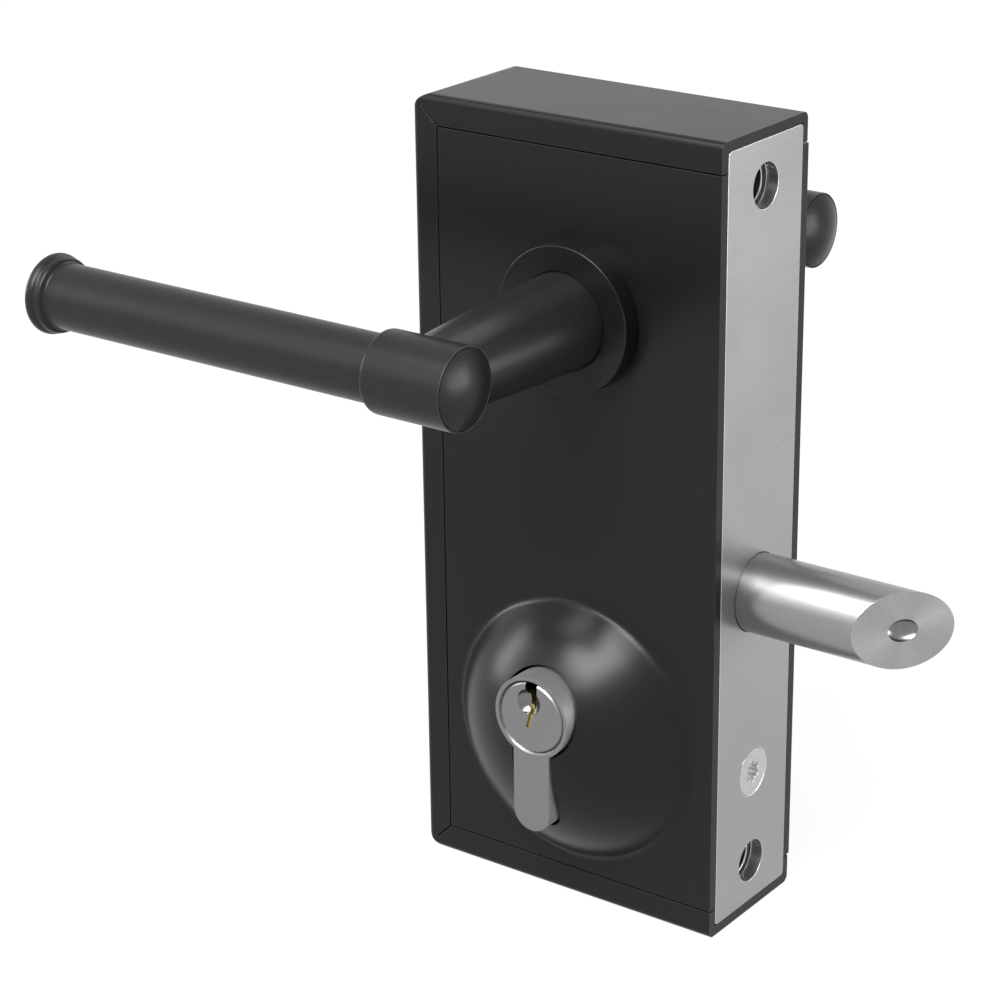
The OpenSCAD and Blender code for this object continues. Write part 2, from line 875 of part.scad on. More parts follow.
module carriage_screws() {
    socket_r = 0.9;
    socket_depth = 0.9;
    color(plated_steel) carriage_screw_places() difference() {
        union() {
            front_bar_between(carriage_screw_r - run_gap, eps - drive_far, 2 - hole_gap);
            translate([0, -2 * eps, 0]) carriage_screw_cone(run_gap);
        }
        to_front() translate([0, 0, -drive_far - over])
            cylinder(r = socket_r, h = socket_depth + over, $fn = 6);
    }
}

// Outline of the drive plate in X and Z: a foot on the carriage, a strap past the hub and the slot.
module drive_outline() {
    low = latch_z - carriage_half;
    high = latch_z + carriage_half;
    roof = slot_top + slot_roof;
    slot_right = axis_x + slot_half + slot_side;
    notch_w = nose_w + 2 * free_gap;
    notch_h = deadlock_lift + deadlock_gap - free_gap;
    difference() {
        union() {
            translate([drive_left, low]) square([-latch_tail - drive_left, high - low]);
            translate([drive_left, low]) square([strap_w, roof - low]);
            translate([drive_left, slot_low - slot_side])
                square([slot_right - drive_left, roof - slot_low + slot_side]);
        }
        translate([axis_x - slot_half, slot_low]) square([2 * slot_half, slot_top - slot_low]);
        for (shift = [0, travel]) translate([nose_x + shift - notch_w / 2, low - over])
            square([notch_w, over + notch_h]);
    }
}

module drive_plate() {
    color(zinc) difference() {
        to_front() translate([0, 0, -drive_far]) linear_extrude(drive_t) drive_outline();
        carriage_screw_places() {
            front_bar_between(carriage_screw_r, -case_d, 0);
            carriage_screw_cone(0);
        }
    }
}

module latch_guide() {
    guide_back = -latch_tail + 2;
    color(brass) difference() {
        latch_bar(guide_r, guide_back, -face_t);
        latch_bar(latch_r + guide_gap, -case_w, 0);
    }
}

// Compression spring between the seat on the back wall and the carriage.
module latch_spring() {
    turns = 11;
    steps = 14;
    first_x = back_x + seat_t + latch_wire_r;
    last_x = carriage_x - latch_wire_r;
    dead = 2 * latch_wire_r + 0.05;
    open_len = last_x - first_x - 2 * dead;
    path = [
        for (i = [0 : turns * steps])
            let (
                t = i / steps,
                along = t < 1 ? dead * t : t > turns - 1 ? open_len + dead * (t - turns + 2)
                    : dead + open_len * (t - 1) / (turns - 2)
            )
                [first_x + along, spring_r * cos(360 * t), spring_r * sin(360 * t)]
    ];
    color(spring_steel) translate([0, 0, latch_z]) wire(path, latch_wire_r, [1, 0, 0]);
}

// Seat on the back wall, with a stub inside the spring that clears the rod when it is drawn in.
module spring_seat() {
    lip = 0.3;
    color(nylon) {
        latch_bar(spring_r + latch_wire_r + lip, back_x, back_x + seat_t);
        latch_bar(spring_r - latch_wire_r - free_gap, back_x, back_x + stub_len);
    }
}

// Nylon strips on the rear plate that the drive plate slides along.
module slide_strips() {
    strip_w = 6;
    near = drive_far + free_gap;
    left = -case_w + rim_w + plate_gap + 0.5;
    upper_z = spindle_z - 2 * hub_r;
    color(nylon) {
        box_between([left, near, upper_z - strip_w / 2], [axis_x - hub_r, inner_y, upper_z + strip_w / 2]);
        box_between([left, near, latch_z - strip_w / 2], [-latch_tail - 1, inner_y, latch_z + strip_w / 2]);
    }
}

module deadlock_outline() {
    left = deadlock_x - deadlock_w;
    slot_r = guide_pin_r + hole_gap;
    head = 3;
    difference() {
        union() {
            translate([left, deadlock_low]) square([deadlock_w, deadlock_top - deadlock_low]);
            translate([nose_x - nose_w / 2, deadlock_top - head]) square([nose_w, nose_h + head]);
            translate([left, deadlock_top - head]) square([nose_x + nose_w / 2 - left, head]);
        }
        for (z = [guide_high, guide_low]) translate([left + deadlock_w / 2, z]) {
            circle(slot_r);
            translate([0, -deadlock_lift]) circle(slot_r);
            translate([-slot_r, -deadlock_lift]) square([2 * slot_r, deadlock_lift]);
        }
    }
}

// Slide that the cam throws up into a notch of the drive plate.
module deadlock_slide() {
    lug_half = 3;
    lug_z = (guide_high - deadlock_lift + guide_low) / 2;
    color(plated_steel) union() {
        to_front() translate([0, 0, -drive_far]) linear_extrude(drive_t) deadlock_outline();
        box_between(
            [deadlock_x - deadlock_w, -lug_half, lug_z - lug_half],
            [deadlock_x, drive_y + eps, lug_z + lug_half]
        );
    }
}

module deadlock_pins() {
    collar = 1.4;
    color(plated_steel) for (z = [guide_high, guide_low])
        translate([deadlock_x - deadlock_w / 2, 0, z]) {
            front_bar_between(guide_pin_r, -inner_y, over - drive_y);
            front_bar_between(guide_pin_r + collar, -inner_y, -drive_far - free_gap);
        }
}

module at_plug() {
    translate([axis_x, 0, plug_z]) children();
}

// Bores for the pins, on both halves of the cylinder or on the front half alone.
module pin_places(sides) {
    for (side = sides, i = [0 : pin_count - 1])
        translate([0, side * (pin_first + pin_pitch * i), 0]) children();
}

module cylinder_body() {
    mouth = 0.4;
    color(nickel) difference() {
        cylinder_prism(0, -cylinder_half, cylinder_half);
        at_plug() {
            front_bar_between(plug_bore_r, -cylinder_half - over, cylinder_half + over);
            front_bar_between(cam_nose_r + free_gap, -cam_slot, cam_slot);
            for (turn = [0, 180]) rotate([0, 0, turn]) to_front() translate([0, 0, cylinder_half - mouth])
                cylinder(r1 = plug_bore_r, r2 = plug_bore_r + mouth, h = mouth + eps);
            pin_places([-1, 1]) translate([0, 0, -pin_well]) cylinder(r = pin_r + run_gap, h = pin_well);
        }
        translate([axis_x - cylinder_r, 0, screw_z]) to_side()
            cylinder(r = screw_r + run_gap, h = cylinder_d);
    }
}

// Countersunk screw with a six-lobed recess.
module cylinder_screw() {
    lobes = 6;
    lobe_r = 0.6;
    recess_r = 1.75;
    recess_depth = 1.8;
    tip_x = axis_x - stem_w / 2 + 0.5;
    color(plated_steel) difference() {
        union() {
            translate([tip_x, 0, screw_z]) to_side() cylinder(r = screw_r, h = -tip_x - over);
            screw_head_cone(0);
        }
        translate([-recess_depth, 0, screw_z]) to_side() {
            cylinder(r = recess_r, h = recess_depth + over);
            for (i = [0 : lobes - 1]) rotate(360 * i / lobes) translate([recess_r, 0, 0])
                cylinder(r = lobe_r, h = recess_depth + over);
        }
        box_between([0, -case_d, -case_h], [case_w, case_d, case_h]);
    }
}

// Keyway seen from the front: a finger bowl, a notch above it and a bent slot.
module keyway_cuts() {
    bowl_mouth = 2.7;
    bowl_depth = 1.6;
    bowl_r = (bowl_mouth * bowl_mouth + bowl_depth * bowl_depth) / (2 * bowl_depth);
    bowl_x = -0.5;
    bowl_z = 3.2;
    key_w = 1.2;
    key_depth = cylinder_half - cam_slot - 2;
    notch_w = 2.7;
    notch_z = 4.6;
    notch_depth = 5;
    bend = 0.3;
    translate([bowl_x, -cylinder_half - bowl_r + bowl_depth, bowl_z]) sphere(r = bowl_r);
    to_front() translate([0, 0, cylinder_half - key_depth]) linear_extrude(key_depth + over)
        translate([-key_w / 2 - bend + 0.05, 0]) polygon([
            [0, 5.6], [0, 2.6], [bend + 0.1, 0.4], [-bend, -2.2],
            [bend + 0.2, -2.3], [key_w + 0.2, 0.6], [key_w, 2.6], [key_w, 5.6]
        ]);
    to_front() translate([0, 0, cylinder_half - notch_depth]) linear_extrude(notch_depth + over)
        translate([0.1 - notch_w / 2, notch_z]) square([notch_w, plug_r]);
}

module plug() {
    edge = 0.3;
    groove = cam_half + clip_gap;
    collar_z = 1.6;
    difference() {
        union() {
            front_bar_between(plug_r, cam_half + 0.15, cylinder_half - edge);
            to_front() translate([0, 0, cylinder_half - edge])
                cylinder(r1 = plug_r, r2 = plug_r - edge, h = edge);
            front_bar_between(tang_r, 0.15, cam_half + over);
        }
        keyway_cuts();
        difference() {
            front_bar_between(plug_r + over, groove, groove + clip_t + run_gap);
            front_bar_between(clip_groove_r, 0, cylinder_half);
        }
        pin_places([-1]) translate([0, 0, -plug_r - over])
            cylinder(r = pin_r + run_gap, h = plug_r + over - collar_z);
    }
}

module front_plug() {
    color(nickel) at_plug() plug();
}

module rear_plug() {
    color(nickel) at_plug() rear_side() plug();
}

module cylinder_cam() {
    nose_half = 3.6;
    color(spring_steel) at_plug() difference() {
        union() {
            front_bar_between(cam_hub_r, -cam_half, cam_half);
            intersection() {
                front_bar_between(cam_nose_r, -cam_half, cam_half);
                box_between([-nose_half, -cam_half, -cam_nose_r - over], [nose_half, cam_half, 0]);
            }
        }
        front_bar_between(tang_r + run_gap, -case_d, case_d);
    }
}

module plug_clip() {
    near = cam_half + clip_gap + 0.02;
    mouth_half = 3;
    color(spring_steel) at_plug() difference() {
        front_bar_between(cylinder_r - free_gap, near, near + clip_t);
        front_bar_between(clip_groove_r + run_gap, 0, case_d);
        box_between([-mouth_half, -case_d, 0], [mouth_half, case_d, cylinder_d]);
    }
}

module front_plug_clip() {
    plug_clip();
}

module rear_plug_clip() {
    rear_side() plug_clip();
}

module key_pins() {
    foot = -plug_r + 0.2;
    tip_r = 0.6;
    color(brass) at_plug() pin_places([-1]) {
        translate([0, 0, foot]) cylinder(r = pin_r, h = -pin_top - pin_point - foot);
        translate([0, 0, -pin_top - pin_point]) cylinder(r1 = pin_r, r2 = tip_r, h = pin_point);
    }
}

module front_key_pins() {
    key_pins();
}

module rear_key_pins() {
    rear_side() key_pins();
}

module driver_pins() {
    color(brass) at_plug() pin_places([-1, 1])
        translate([0, 0, driver_top - driver_len]) cylinder(r = pin_r, h = driver_len);
}

// The pin springs are plain tubes of their outer size.
module pin_springs() {
    tube_r = pin_r - 0.15;
    wire_t = 0.35;
    color(spring_steel) at_plug() pin_places([-1, 1]) translate([0, 0, -pin_well]) difference() {
        cylinder(r = tube_r, h = pin_well + driver_top - driver_len);
        translate([0, 0, -over]) cylinder(r = tube_r - wire_t, h = pin_well);
    }
}

case_band();
front_plate();
rear_plate();
faceplate();
fixing_pillars();
case_posts();
front_rose();
rear_rose();
front_bearing();
rear_bearing();
rose_retainers();
spindle();
follower();
drive_pin();
drive_bush();
lever_spring();
front_neck();
front_elbow();
front_bar();
front_end_cap();
front_grub_screw();
rear_neck();
rear_elbow();
rear_bar();
rear_end_cap();
rear_grub_screw();
latch_bolt();
latch_pin();
latch_rod();
latch_carriage();
carriage_screws();
drive_plate();
latch_guide();
latch_spring();
spring_seat();
slide_strips();
deadlock_slide();
deadlock_pins();
cylinder_body();
cylinder_screw();
front_plug();
rear_plug();
cylinder_cam();
front_plug_clip();
rear_plug_clip();
front_key_pins();
rear_key_pins();
driver_pins();
pin_springs();
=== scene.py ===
# %% [markdown]
# # A lever handle gate lock
# The lock bolts to the edge of a gate frame. This lesson starts from its solids, which stay where
# they are, and gives them the look of the real thing: rounded edges, finishes, light and a camera.
# Every length in Blender is in metres, in the same frame as the solids: +X is out of the fixing face
# along the latch, -Y is the front and +Z is up. A maker thinks in millimetres, so most lengths are
# written in them and take the factor MM on their way into a mesh.

# %% Load the solids
import json
import math

import bmesh
import bpy
from mathutils import Matrix, Vector


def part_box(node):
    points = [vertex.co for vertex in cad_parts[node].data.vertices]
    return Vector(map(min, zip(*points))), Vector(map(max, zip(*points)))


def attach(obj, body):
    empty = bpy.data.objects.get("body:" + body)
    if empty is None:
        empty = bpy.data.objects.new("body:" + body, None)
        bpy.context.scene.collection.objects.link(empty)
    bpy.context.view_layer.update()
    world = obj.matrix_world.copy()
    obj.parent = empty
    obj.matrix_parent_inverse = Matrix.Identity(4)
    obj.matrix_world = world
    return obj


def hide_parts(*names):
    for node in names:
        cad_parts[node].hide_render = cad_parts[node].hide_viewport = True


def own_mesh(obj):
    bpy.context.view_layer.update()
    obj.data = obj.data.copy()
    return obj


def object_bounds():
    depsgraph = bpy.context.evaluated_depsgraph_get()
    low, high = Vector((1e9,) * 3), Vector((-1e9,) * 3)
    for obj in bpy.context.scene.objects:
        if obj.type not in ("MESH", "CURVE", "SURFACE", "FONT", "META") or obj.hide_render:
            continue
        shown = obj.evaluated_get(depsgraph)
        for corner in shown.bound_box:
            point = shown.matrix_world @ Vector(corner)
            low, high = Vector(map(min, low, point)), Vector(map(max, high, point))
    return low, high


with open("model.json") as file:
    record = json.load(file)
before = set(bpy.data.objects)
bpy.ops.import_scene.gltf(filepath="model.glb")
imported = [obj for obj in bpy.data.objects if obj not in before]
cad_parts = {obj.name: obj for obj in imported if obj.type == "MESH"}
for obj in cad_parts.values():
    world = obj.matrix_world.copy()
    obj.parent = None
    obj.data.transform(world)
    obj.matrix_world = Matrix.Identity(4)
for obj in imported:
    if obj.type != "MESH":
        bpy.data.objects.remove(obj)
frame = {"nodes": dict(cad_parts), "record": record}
cad_low, cad_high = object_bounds()
MM = 0.001
nodes = frame["nodes"]
record = frame["record"]
body_of = {node: body for body, names in record["behaviour"]["bodies"].items() for node in names}
slot_of = {part["node"]: part["material_slot"] for part in record["subparts"]}
print("solids:", len(nodes), "box in mm:", [round((b - a) / MM, 1) for a, b in zip(cad_low, cad_high)])

# %% [markdown]
# The camera comes first, because every look is judged from it. Its place was found by matching the
# corners and circles of the case with the same points of the photograph, so the case lines up with
# it. The small sideways shift is there because the photograph was cut off centre.

# %% Camera
CAMERA_AT = (0.26456, -0.43704, 0.20865)
CAMERA_TURN = 35.451
CAMERA_DROP = 21.520
CAMERA_ROLL = -0.253
FOCUS_PX = 2881.5
CENTRE_PX = (559.0, 501.55)
FRAME_PX = 1000
SENSOR = 36.0
NEAREST = 0.01


def aim(turn, drop, roll):
    """Rotation of a camera that looks along +Y, turned to its left, tilted down and rolled."""
    turn, drop, roll = math.radians(turn), math.radians(drop), math.radians(roll)
    back = Vector((math.sin(turn) * math.cos(drop), -math.cos(turn) * math.cos(drop), math.sin(drop)))
    right = Vector((math.cos(turn), math.sin(turn), 0))
    up = back.cross(right)
    across = math.cos(roll) * right + math.sin(roll) * up
    above = math.cos(roll) * up - math.sin(roll) * right
    return Matrix((across, above, back)).transposed().to_4x4()


camera_data = bpy.data.cameras.new("camera")
camera_data.sensor_width = SENSOR
camera_data.lens = FOCUS_PX / FRAME_PX * SENSOR
camera_data.shift_x = (FRAME_PX / 2 - CENTRE_PX[0]) / FRAME_PX
camera_data.shift_y = (CENTRE_PX[1] - FRAME_PX / 2) / FRAME_PX
camera_data.clip_start = NEAREST
camera = bpy.data.objects.new("camera", camera_data)
camera.matrix_world = Matrix.Translation(CAMERA_AT) @ aim(CAMERA_TURN, CAMERA_DROP, CAMERA_ROLL)
bpy.context.scene.collection.objects.link(camera)
bpy.context.scene.camera = camera
bpy.context.scene.view_settings.view_transform = "Standard"
print("lens", round(camera_data.lens, 2), "mm, shift", round(camera_data.shift_x, 4))

# %% [markdown]
# A finish is a small tree of nodes. They all follow one plan: noise in the object's own coordinates,
# stretched where a tool has drawn lines, moves the colour between two close tones, a slower noise
# moves the roughness, and the fine noise also gives the bump. A painted picture could carry the
# same marks, but it would need unwrapped faces and would blur up close, and noise does neither.

# %% Noise and tones
NOISE_LOW = 0.3
NOISE_HIGH = 0.7


def grey(value):
    """A neutral colour."""
    return (value, value, value)


def noise(tree, per_metre, detail):
    """Noise in object coordinates, with so many waves per metre along X, Y and Z."""
    place = tree.nodes.new("ShaderNodeTexCoord")
    scale = tree.nodes.new("ShaderNodeMapping")
    scale.inputs["Scale"].default_value = per_metre
    tree.links.new(place.outputs["Object"], scale.inputs["Vector"])
    node = tree.nodes.new("ShaderNodeTexNoise")
    node.inputs["Scale"].default_value = 1.0
    node.inputs["Detail"].default_value = detail
    tree.links.new(scale.outputs["Vector"], node.inputs["Vector"])
    return node.outputs["Fac"]


def between(tree, source, dark, light):
    """Colour that goes from dark to light where most of the noise lies."""
    node = tree.nodes.new("ShaderNodeValToRGB")
    tree.links.new(source, node.inputs["Fac"])
    for element, place, colour in zip(node.color_ramp.elements, (NOISE_LOW, NOISE_HIGH), (dark, light)):
        element.position = place
        element.color = (*colour, 1)
    return node.outputs["Color"]


def span(tree, source, low, high):
    """Value that goes from low to high where most of the noise lies."""
    node = tree.nodes.new("ShaderNodeMapRange")
    tree.links.new(source, node.inputs["Value"])
    node.inputs["From Min"].default_value = NOISE_LOW
    node.inputs["From Max"].default_value = NOISE_HIGH
    node.inputs["To Min"].default_value = low
    node.inputs["To Max"].default_value = high
    return node.outputs["Result"]


print("most noise lies between", NOISE_LOW, "and", NOISE_HIGH)

# %% [markdown]
# With these parts a finish is one line: its tones from dark to light, its roughness from smooth to
# dull, the width of its grain and the depth of its bump. Values that are the same all over a piece,
# such as how metallic it is, go straight on the shader.

# %% How a finish is made
GRAIN_DETAIL = 4.0
CLOUD_DETAIL = 2.0
CLOUDS = (60, 60, 60)


def finish(name, dark, light, rough, grain, bump, metal=0.0, specular=0.5):
    """Material whose grain has so many waves per metre and a bump depth in metres."""
    material = bpy.data.materials.new(name)
    material.use_nodes = True
    tree = material.node_tree
    shader = tree.nodes["Principled BSDF"]
    shader.inputs["Metallic"].default_value = metal
    shader.inputs["Specular IOR Level"].default_value = specular
    fine = noise(tree, grain, GRAIN_DETAIL)
    tree.links.new(between(tree, fine, dark, light), shader.inputs["Base Color"])
    tree.links.new(span(tree, noise(tree, CLOUDS, CLOUD_DETAIL), *rough), shader.inputs["Roughness"])
    relief = tree.nodes.new("ShaderNodeBump")
    relief.inputs["Distance"].default_value = bump
    relief.inputs["Strength"].default_value = 1.0
    tree.links.new(fine, relief.inputs["Height"])
    tree.links.new(relief.outputs["Normal"], shader.inputs["Normal"])
    return material


print("a grain has", GRAIN_DETAIL, "octaves, the clouds in its roughness", CLOUD_DETAIL)

# %% [markdown]
# The case and the levers are powder coated: a baked plastic skin with a satin sheen and a very fine
# orange peel. A dark base with a middling roughness gives the broad, soft reflections of the dome.
# The levers take a lighter copy of the same coat, which is painted light: it makes up for the light their
# necks and bars lose by facing the dark plates. Where hands and tools rub an edge, the coat is lighter and
# a little smoother.

# %% Powder coat
powder = finish("satin_powder_coat", grey(0.0028), grey(0.0046), (0.28, 0.31), (2600, 2600, 2600),
                0.0000025, specular=0.17)
powder_worn = finish("rubbed_powder_coat", grey(0.009), grey(0.016), (0.28, 0.33), (1900, 1900, 1900),
                     0.000002, specular=0.26)
# The levers' coat is the powder coat painted lighter, as painted light for their shaded necks and bars.
lever_coat_painted_light = finish("satin_lever_coat_painted_light", grey(0.0066), grey(0.0098), (0.29, 0.33), (2200, 2200, 2200),
                    0.0000025, specular=0.13)
print("finishes:", powder.name, powder_worn.name, lever_coat_painted_light.name)

# %% [markdown]
# The faceplate is stainless sheet that was brushed across its width. The lines run along Y, so the
# noise is slow along Y and fast along Z. A metal has no diffuse colour: its grey is its reflection.
# Every other metal differs in its tones, in how rough it is and in the width of its grain.

# %% Metals
brushed = finish("brushed_across", grey(0.28), grey(0.31), (0.30, 0.36), (900, 60, 5200),
                 0.0000006, metal=1.0)
turned = finish("turned_steel", grey(0.25), grey(0.28), (0.28, 0.31), (5200, 260, 260),
                0.0000004, metal=1.0)
plated = finish("bright_plated_steel", grey(0.42), grey(0.48), (0.28, 0.34), (900, 900, 900),
                0.0000008, metal=1.0)
zinc = finish("zinc_plated_steel", (0.30, 0.31, 0.33), (0.39, 0.40, 0.42), (0.30, 0.42), (420, 420, 420),
              0.0000015, metal=1.0)
drawn = finish("drawn_spring_steel", grey(0.16), grey(0.22), (0.28, 0.36), (1800, 1800, 1800),
               0.0000015, metal=1.0)
nickel = finish("satin_nickel", grey(0.20), grey(0.22), (0.34, 0.40), (3200, 3200, 3200),
                0.0000008, metal=1.0)
nickel_side = finish("blasted_nickel", grey(0.22), grey(0.28), (0.46, 0.54), (2400, 2400, 2400),
                     0.000004, metal=0.8)
nickel_edge = finish("turned_nickel_edge", grey(0.20), grey(0.24), (0.34, 0.40), (2400, 2400, 2400),
                     0.0000006, metal=1.0)
brass = finish("machined_brass", (0.30, 0.24, 0.09), (0.38, 0.31, 0.12), (0.30, 0.38), (1500, 1500, 1500),
               0.0000008, metal=1.0)
polished = finish("polished_nickel", grey(0.15), grey(0.18), (0.14, 0.18), (1500, 1500, 1500),
                  0.0000003, metal=1.0)
# Bright cut metal: real on cut edges, and painted light on the walls of the screw's recess.
cut_edge_and_painted_light = finish("bright_cut_edge_and_painted_light", grey(0.68), grey(0.76), (0.28, 0.32), (1500, 1500, 1500),
                  0.0000004, metal=1.0)
drilled = finish("drilled_pit", grey(0.15), grey(0.19), (0.28, 0.32), (1500, 1500, 1500),
                 0.0000004, metal=1.0)
# Dark oiled metal: oil on the threads of the pillars, and painted shade in the mouth chamfers of the
# cylinder.
oil_and_painted_shade = finish("oiled_thread_and_painted_shade", grey(0.10), grey(0.15), (0.36, 0.46), (1500, 1500, 1500),
               0.000002, metal=1.0)
rubbed = finish("rubbed_metal_edge", grey(0.44), grey(0.50), (0.28, 0.33), (1400, 1400, 1400),
                0.0000006, metal=1.0)
print("brightest metal:", cut_edge_and_painted_light.name, "darkest:", oil_and_painted_shade.name)

# %% [markdown]
# Bearings, strips and the spring's seat are black nylon, a soft matt plastic. Each solid now takes the
# finish that its slot in the record names. A second table says what shows where its edge is rubbed:
# any metal that isn't in it shows the plain rubbed finish.

# %% Finishes for the slots
nylon = finish("black_nylon", grey(0.012), grey(0.018), (0.42, 0.55), (700, 700, 700), 0.000003)
FINISH = {
    "powder_coat": powder, "faceplate_steel": brushed, "latch_steel": turned, "bright_steel": plated,
    "zinc_steel": zinc, "spring_steel": drawn, "satin_nickel": nickel, "brass": brass, "nylon": nylon,
}
WORN = {powder: powder_worn, nylon: nylon, brass: brass, drawn: plated, brushed: cut_edge_and_painted_light}
for node, solid in nodes.items():
    solid.data.materials.clear()
    solid.data.materials.append(FINISH[slot_of[node]])
print("solids with a finish:", len(slot_of))

# %% [markdown]
# The slanted tip of the latch was faced in a lathe, which leaves fine rings. They spread the light
# into a fan round their middle. Rings drawn as bump would have to be finer than a pixel, so the
# shader's anisotropy does it, with a tangent that runs round the axis of the latch.

# %% Faced metal
FAN_STRENGTH = 0.65
FAN_TURN = 0.31


def faced(name, dark, light, axis):
    """Metal whose fine rings round an axis spread the light in a fan."""
    material = finish(name, grey(dark), grey(light), (0.30, 0.34), (1500, 1500, 1500), 0.0000004, metal=1.0)
    tree = material.node_tree
    shader = tree.nodes["Principled BSDF"]
    around = tree.nodes.new("ShaderNodeTangent")
    around.direction_type = "RADIAL"
    around.axis = axis
    shader.inputs["Anisotropic"].default_value = FAN_STRENGTH
    shader.inputs["Anisotropic Rotation"].default_value = FAN_TURN
    tree.links.new(around.outputs["Tangent"], shader.inputs["Tangent"])
    return material


tip_faced = faced("faced_tip", 0.30, 0.33, "X")
print("finish:", tip_faced.name)

# %% [markdown]
# Most solids already have the right form, but every edge of a solid is knife sharp, and no real edge
# is: a folded or milled edge catches a thin line of light. A bevel modifier could round a copy. Here
# the bevel is run once in mesh code, so that its new faces can take a finish of their own. Each
# corner's normal then leans to its largest face, which keeps the flats next to a rounding flat.

# %% From a mesh under work to a piece
LEAN_WITHIN = 48
LEVEL_WITHIN = 0.6


def shade(mesh):
    """Leans the normal of each corner to the largest faces that turn little from its own face."""
    near = math.cos(math.radians(LEAN_WITHIN))
    around = [[] for _ in mesh.vertices]
    for face in mesh.polygons:
        for vert in face.vertices:
            around[vert].append((face.normal.copy(), face.area))
    normals = []
    for face in mesh.polygons:
        for vert in face.vertices:
            lean = Vector()
            for normal, area in around[vert]:
                if normal.dot(face.normal) > near:
                    lean += normal * area
            straight = Vector([round(value) for value in face.normal])
            level = straight.length == 1 and face.normal.angle(straight) < math.radians(LEVEL_WITHIN)
            normals.append(straight if level else lean.normalized())
    mesh.shade_smooth()
    mesh.normals_split_custom_set(normals)


def stand_in(name, shape, node, finishes):
    """Makes a piece from a mesh under work and puts it in the place of a solid."""
    mesh = bpy.data.meshes.new(name)
    shape.to_mesh(mesh)
    shape.free()
    shade(mesh)
    for material in finishes:
        mesh.materials.append(material)
    piece = bpy.data.objects.new(name, mesh)
    bpy.context.scene.collection.objects.link(piece)
    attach(piece, body_of[node])
    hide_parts(node)
    return piece


print("normals lean to faces within", LEAN_WITHIN, "degrees")

# %% [markdown]
# A solid comes as triangles. Before the bevel its copy is welded, and the triangles that lie in one
# plane are joined, because a bevel along the edge of a sliver would leave a fault in the light. The
# faces of the rounding take the second finish, and faces that stay level keep the first.

# %% Rounded copies
WELD = 0.001 * MM
SLIVER = 0.0005 * MM
SAME_PLANE = 0.2
KEEN_ANGLE = 33
SMALLEST_FACE = 1e-10
LEVEL_FACE = 0.9999
ROUND_SEGMENTS = 3


def copied(node):
    """Mesh under work with the faces of a solid, joined along their edges."""
    shape = bmesh.new()
    shape.from_mesh(nodes[node].data)
    bmesh.ops.remove_doubles(shape, verts=shape.verts, dist=WELD)
    bmesh.ops.dissolve_degenerate(shape, edges=shape.edges, dist=SLIVER)
    bmesh.ops.dissolve_limit(shape, angle_limit=math.radians(SAME_PLANE), verts=shape.verts,
                             edges=shape.edges)
    for face in shape.faces:
        face.material_index = 0
    return shape


def is_keen(edge):
    """Says if an edge turns enough to be rounded, between two faces that are no slivers."""
    if len(edge.link_faces) != 2 or edge.calc_face_angle() <= math.radians(KEEN_ANGLE):
        return False
    return min(face.calc_area() for face in edge.link_faces) > SMALLEST_FACE


def round_edges(shape, width, slot):
    """Rounds the keen edges by a width in mm, with faces in a slot of their own."""
    shape.normal_update()
    keen = [edge for edge in shape.edges if is_keen(edge)]
    bmesh.ops.bevel(shape, geom=keen, offset=width * MM, segments=ROUND_SEGMENTS, profile=0.5,
                    affect="EDGES", clamp_overlap=True, material=slot)
    shape.normal_update()
    for face in shape.faces:
        if max(abs(value) for value in face.normal) > LEVEL_FACE:
            face.material_index = 0
    return len(keen)


print("edges over", KEEN_ANGLE, "degrees get", ROUND_SEGMENTS, "faces")

# %% [markdown]
# Two pieces need a little more than a rounding. The punch that made the bolt holes flared their backs and
# left their walls bright. The walls of the cylinder screw's recess take the bright cut metal as painted
# light, which lifts the shade that fills the recess. Both are found by where their faces are, because a
# solid's faces have no names.

# %% Bolt holes and the screw's recess
BOLT_Z = 69.5
HOLE_REACH = 6
FLARE_BEHIND = -2
FLARE = 0.35
WALL_REACH = 4.7
WALL_TILT = 0.9
RECESS_REACH = 2.7
RECESS_FROM = 0.15
RECESS_TO = 2.6


def flare_bolt_holes(shape):
    """Opens the back of both bolt holes, as a punch does where it breaks through."""
    flared = 0
    for vert in shape.verts:
        height = BOLT_Z if vert.co.z > 0 else -BOLT_Z
        out = Vector((0, vert.co.y, vert.co.z - height * MM))
        if vert.co.x < FLARE_BEHIND * MM and out.length < HOLE_REACH * MM:
            vert.co += out.normalized() * FLARE * MM
            flared += 1
    return flared


def brighten_hole_walls(shape):
    """Gives the walls of both bolt holes the second finish."""
    walls = 0
    for face in shape.faces:
        middle = face.calc_center_median() / MM
        if math.hypot(middle.y, abs(middle.z) - BOLT_Z) < WALL_REACH and abs(face.normal.x) < WALL_TILT:
            face.material_index = 1
            walls += 1
    return walls


def paint_light_in_recess(shape):
    """Gives the walls of the recess in the head of the cylinder screw the third finish, bright metal that
    is painted light in the recess's shade.
    """
    low, high = [corner / MM for corner in map(Vector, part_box("cylinder_screw"))]
    axis_y, axis_z = (low.y + high.y) / 2, (low.z + high.z) / 2
    for face in shape.faces:
        middle = face.calc_center_median() / MM
        across = math.hypot(middle.y - axis_y, middle.z - axis_z)
        if across < RECESS_REACH and RECESS_FROM < high.x - middle.x < RECESS_TO:
            face.material_index = 2


print("bolt holes at", BOLT_Z, "and", -BOLT_Z, "mm")

# %% [markdown]
# The width of a rounding is what each piece's making would leave: a hair on stamped rings and clips,
# more on folded sheet and milled blocks.

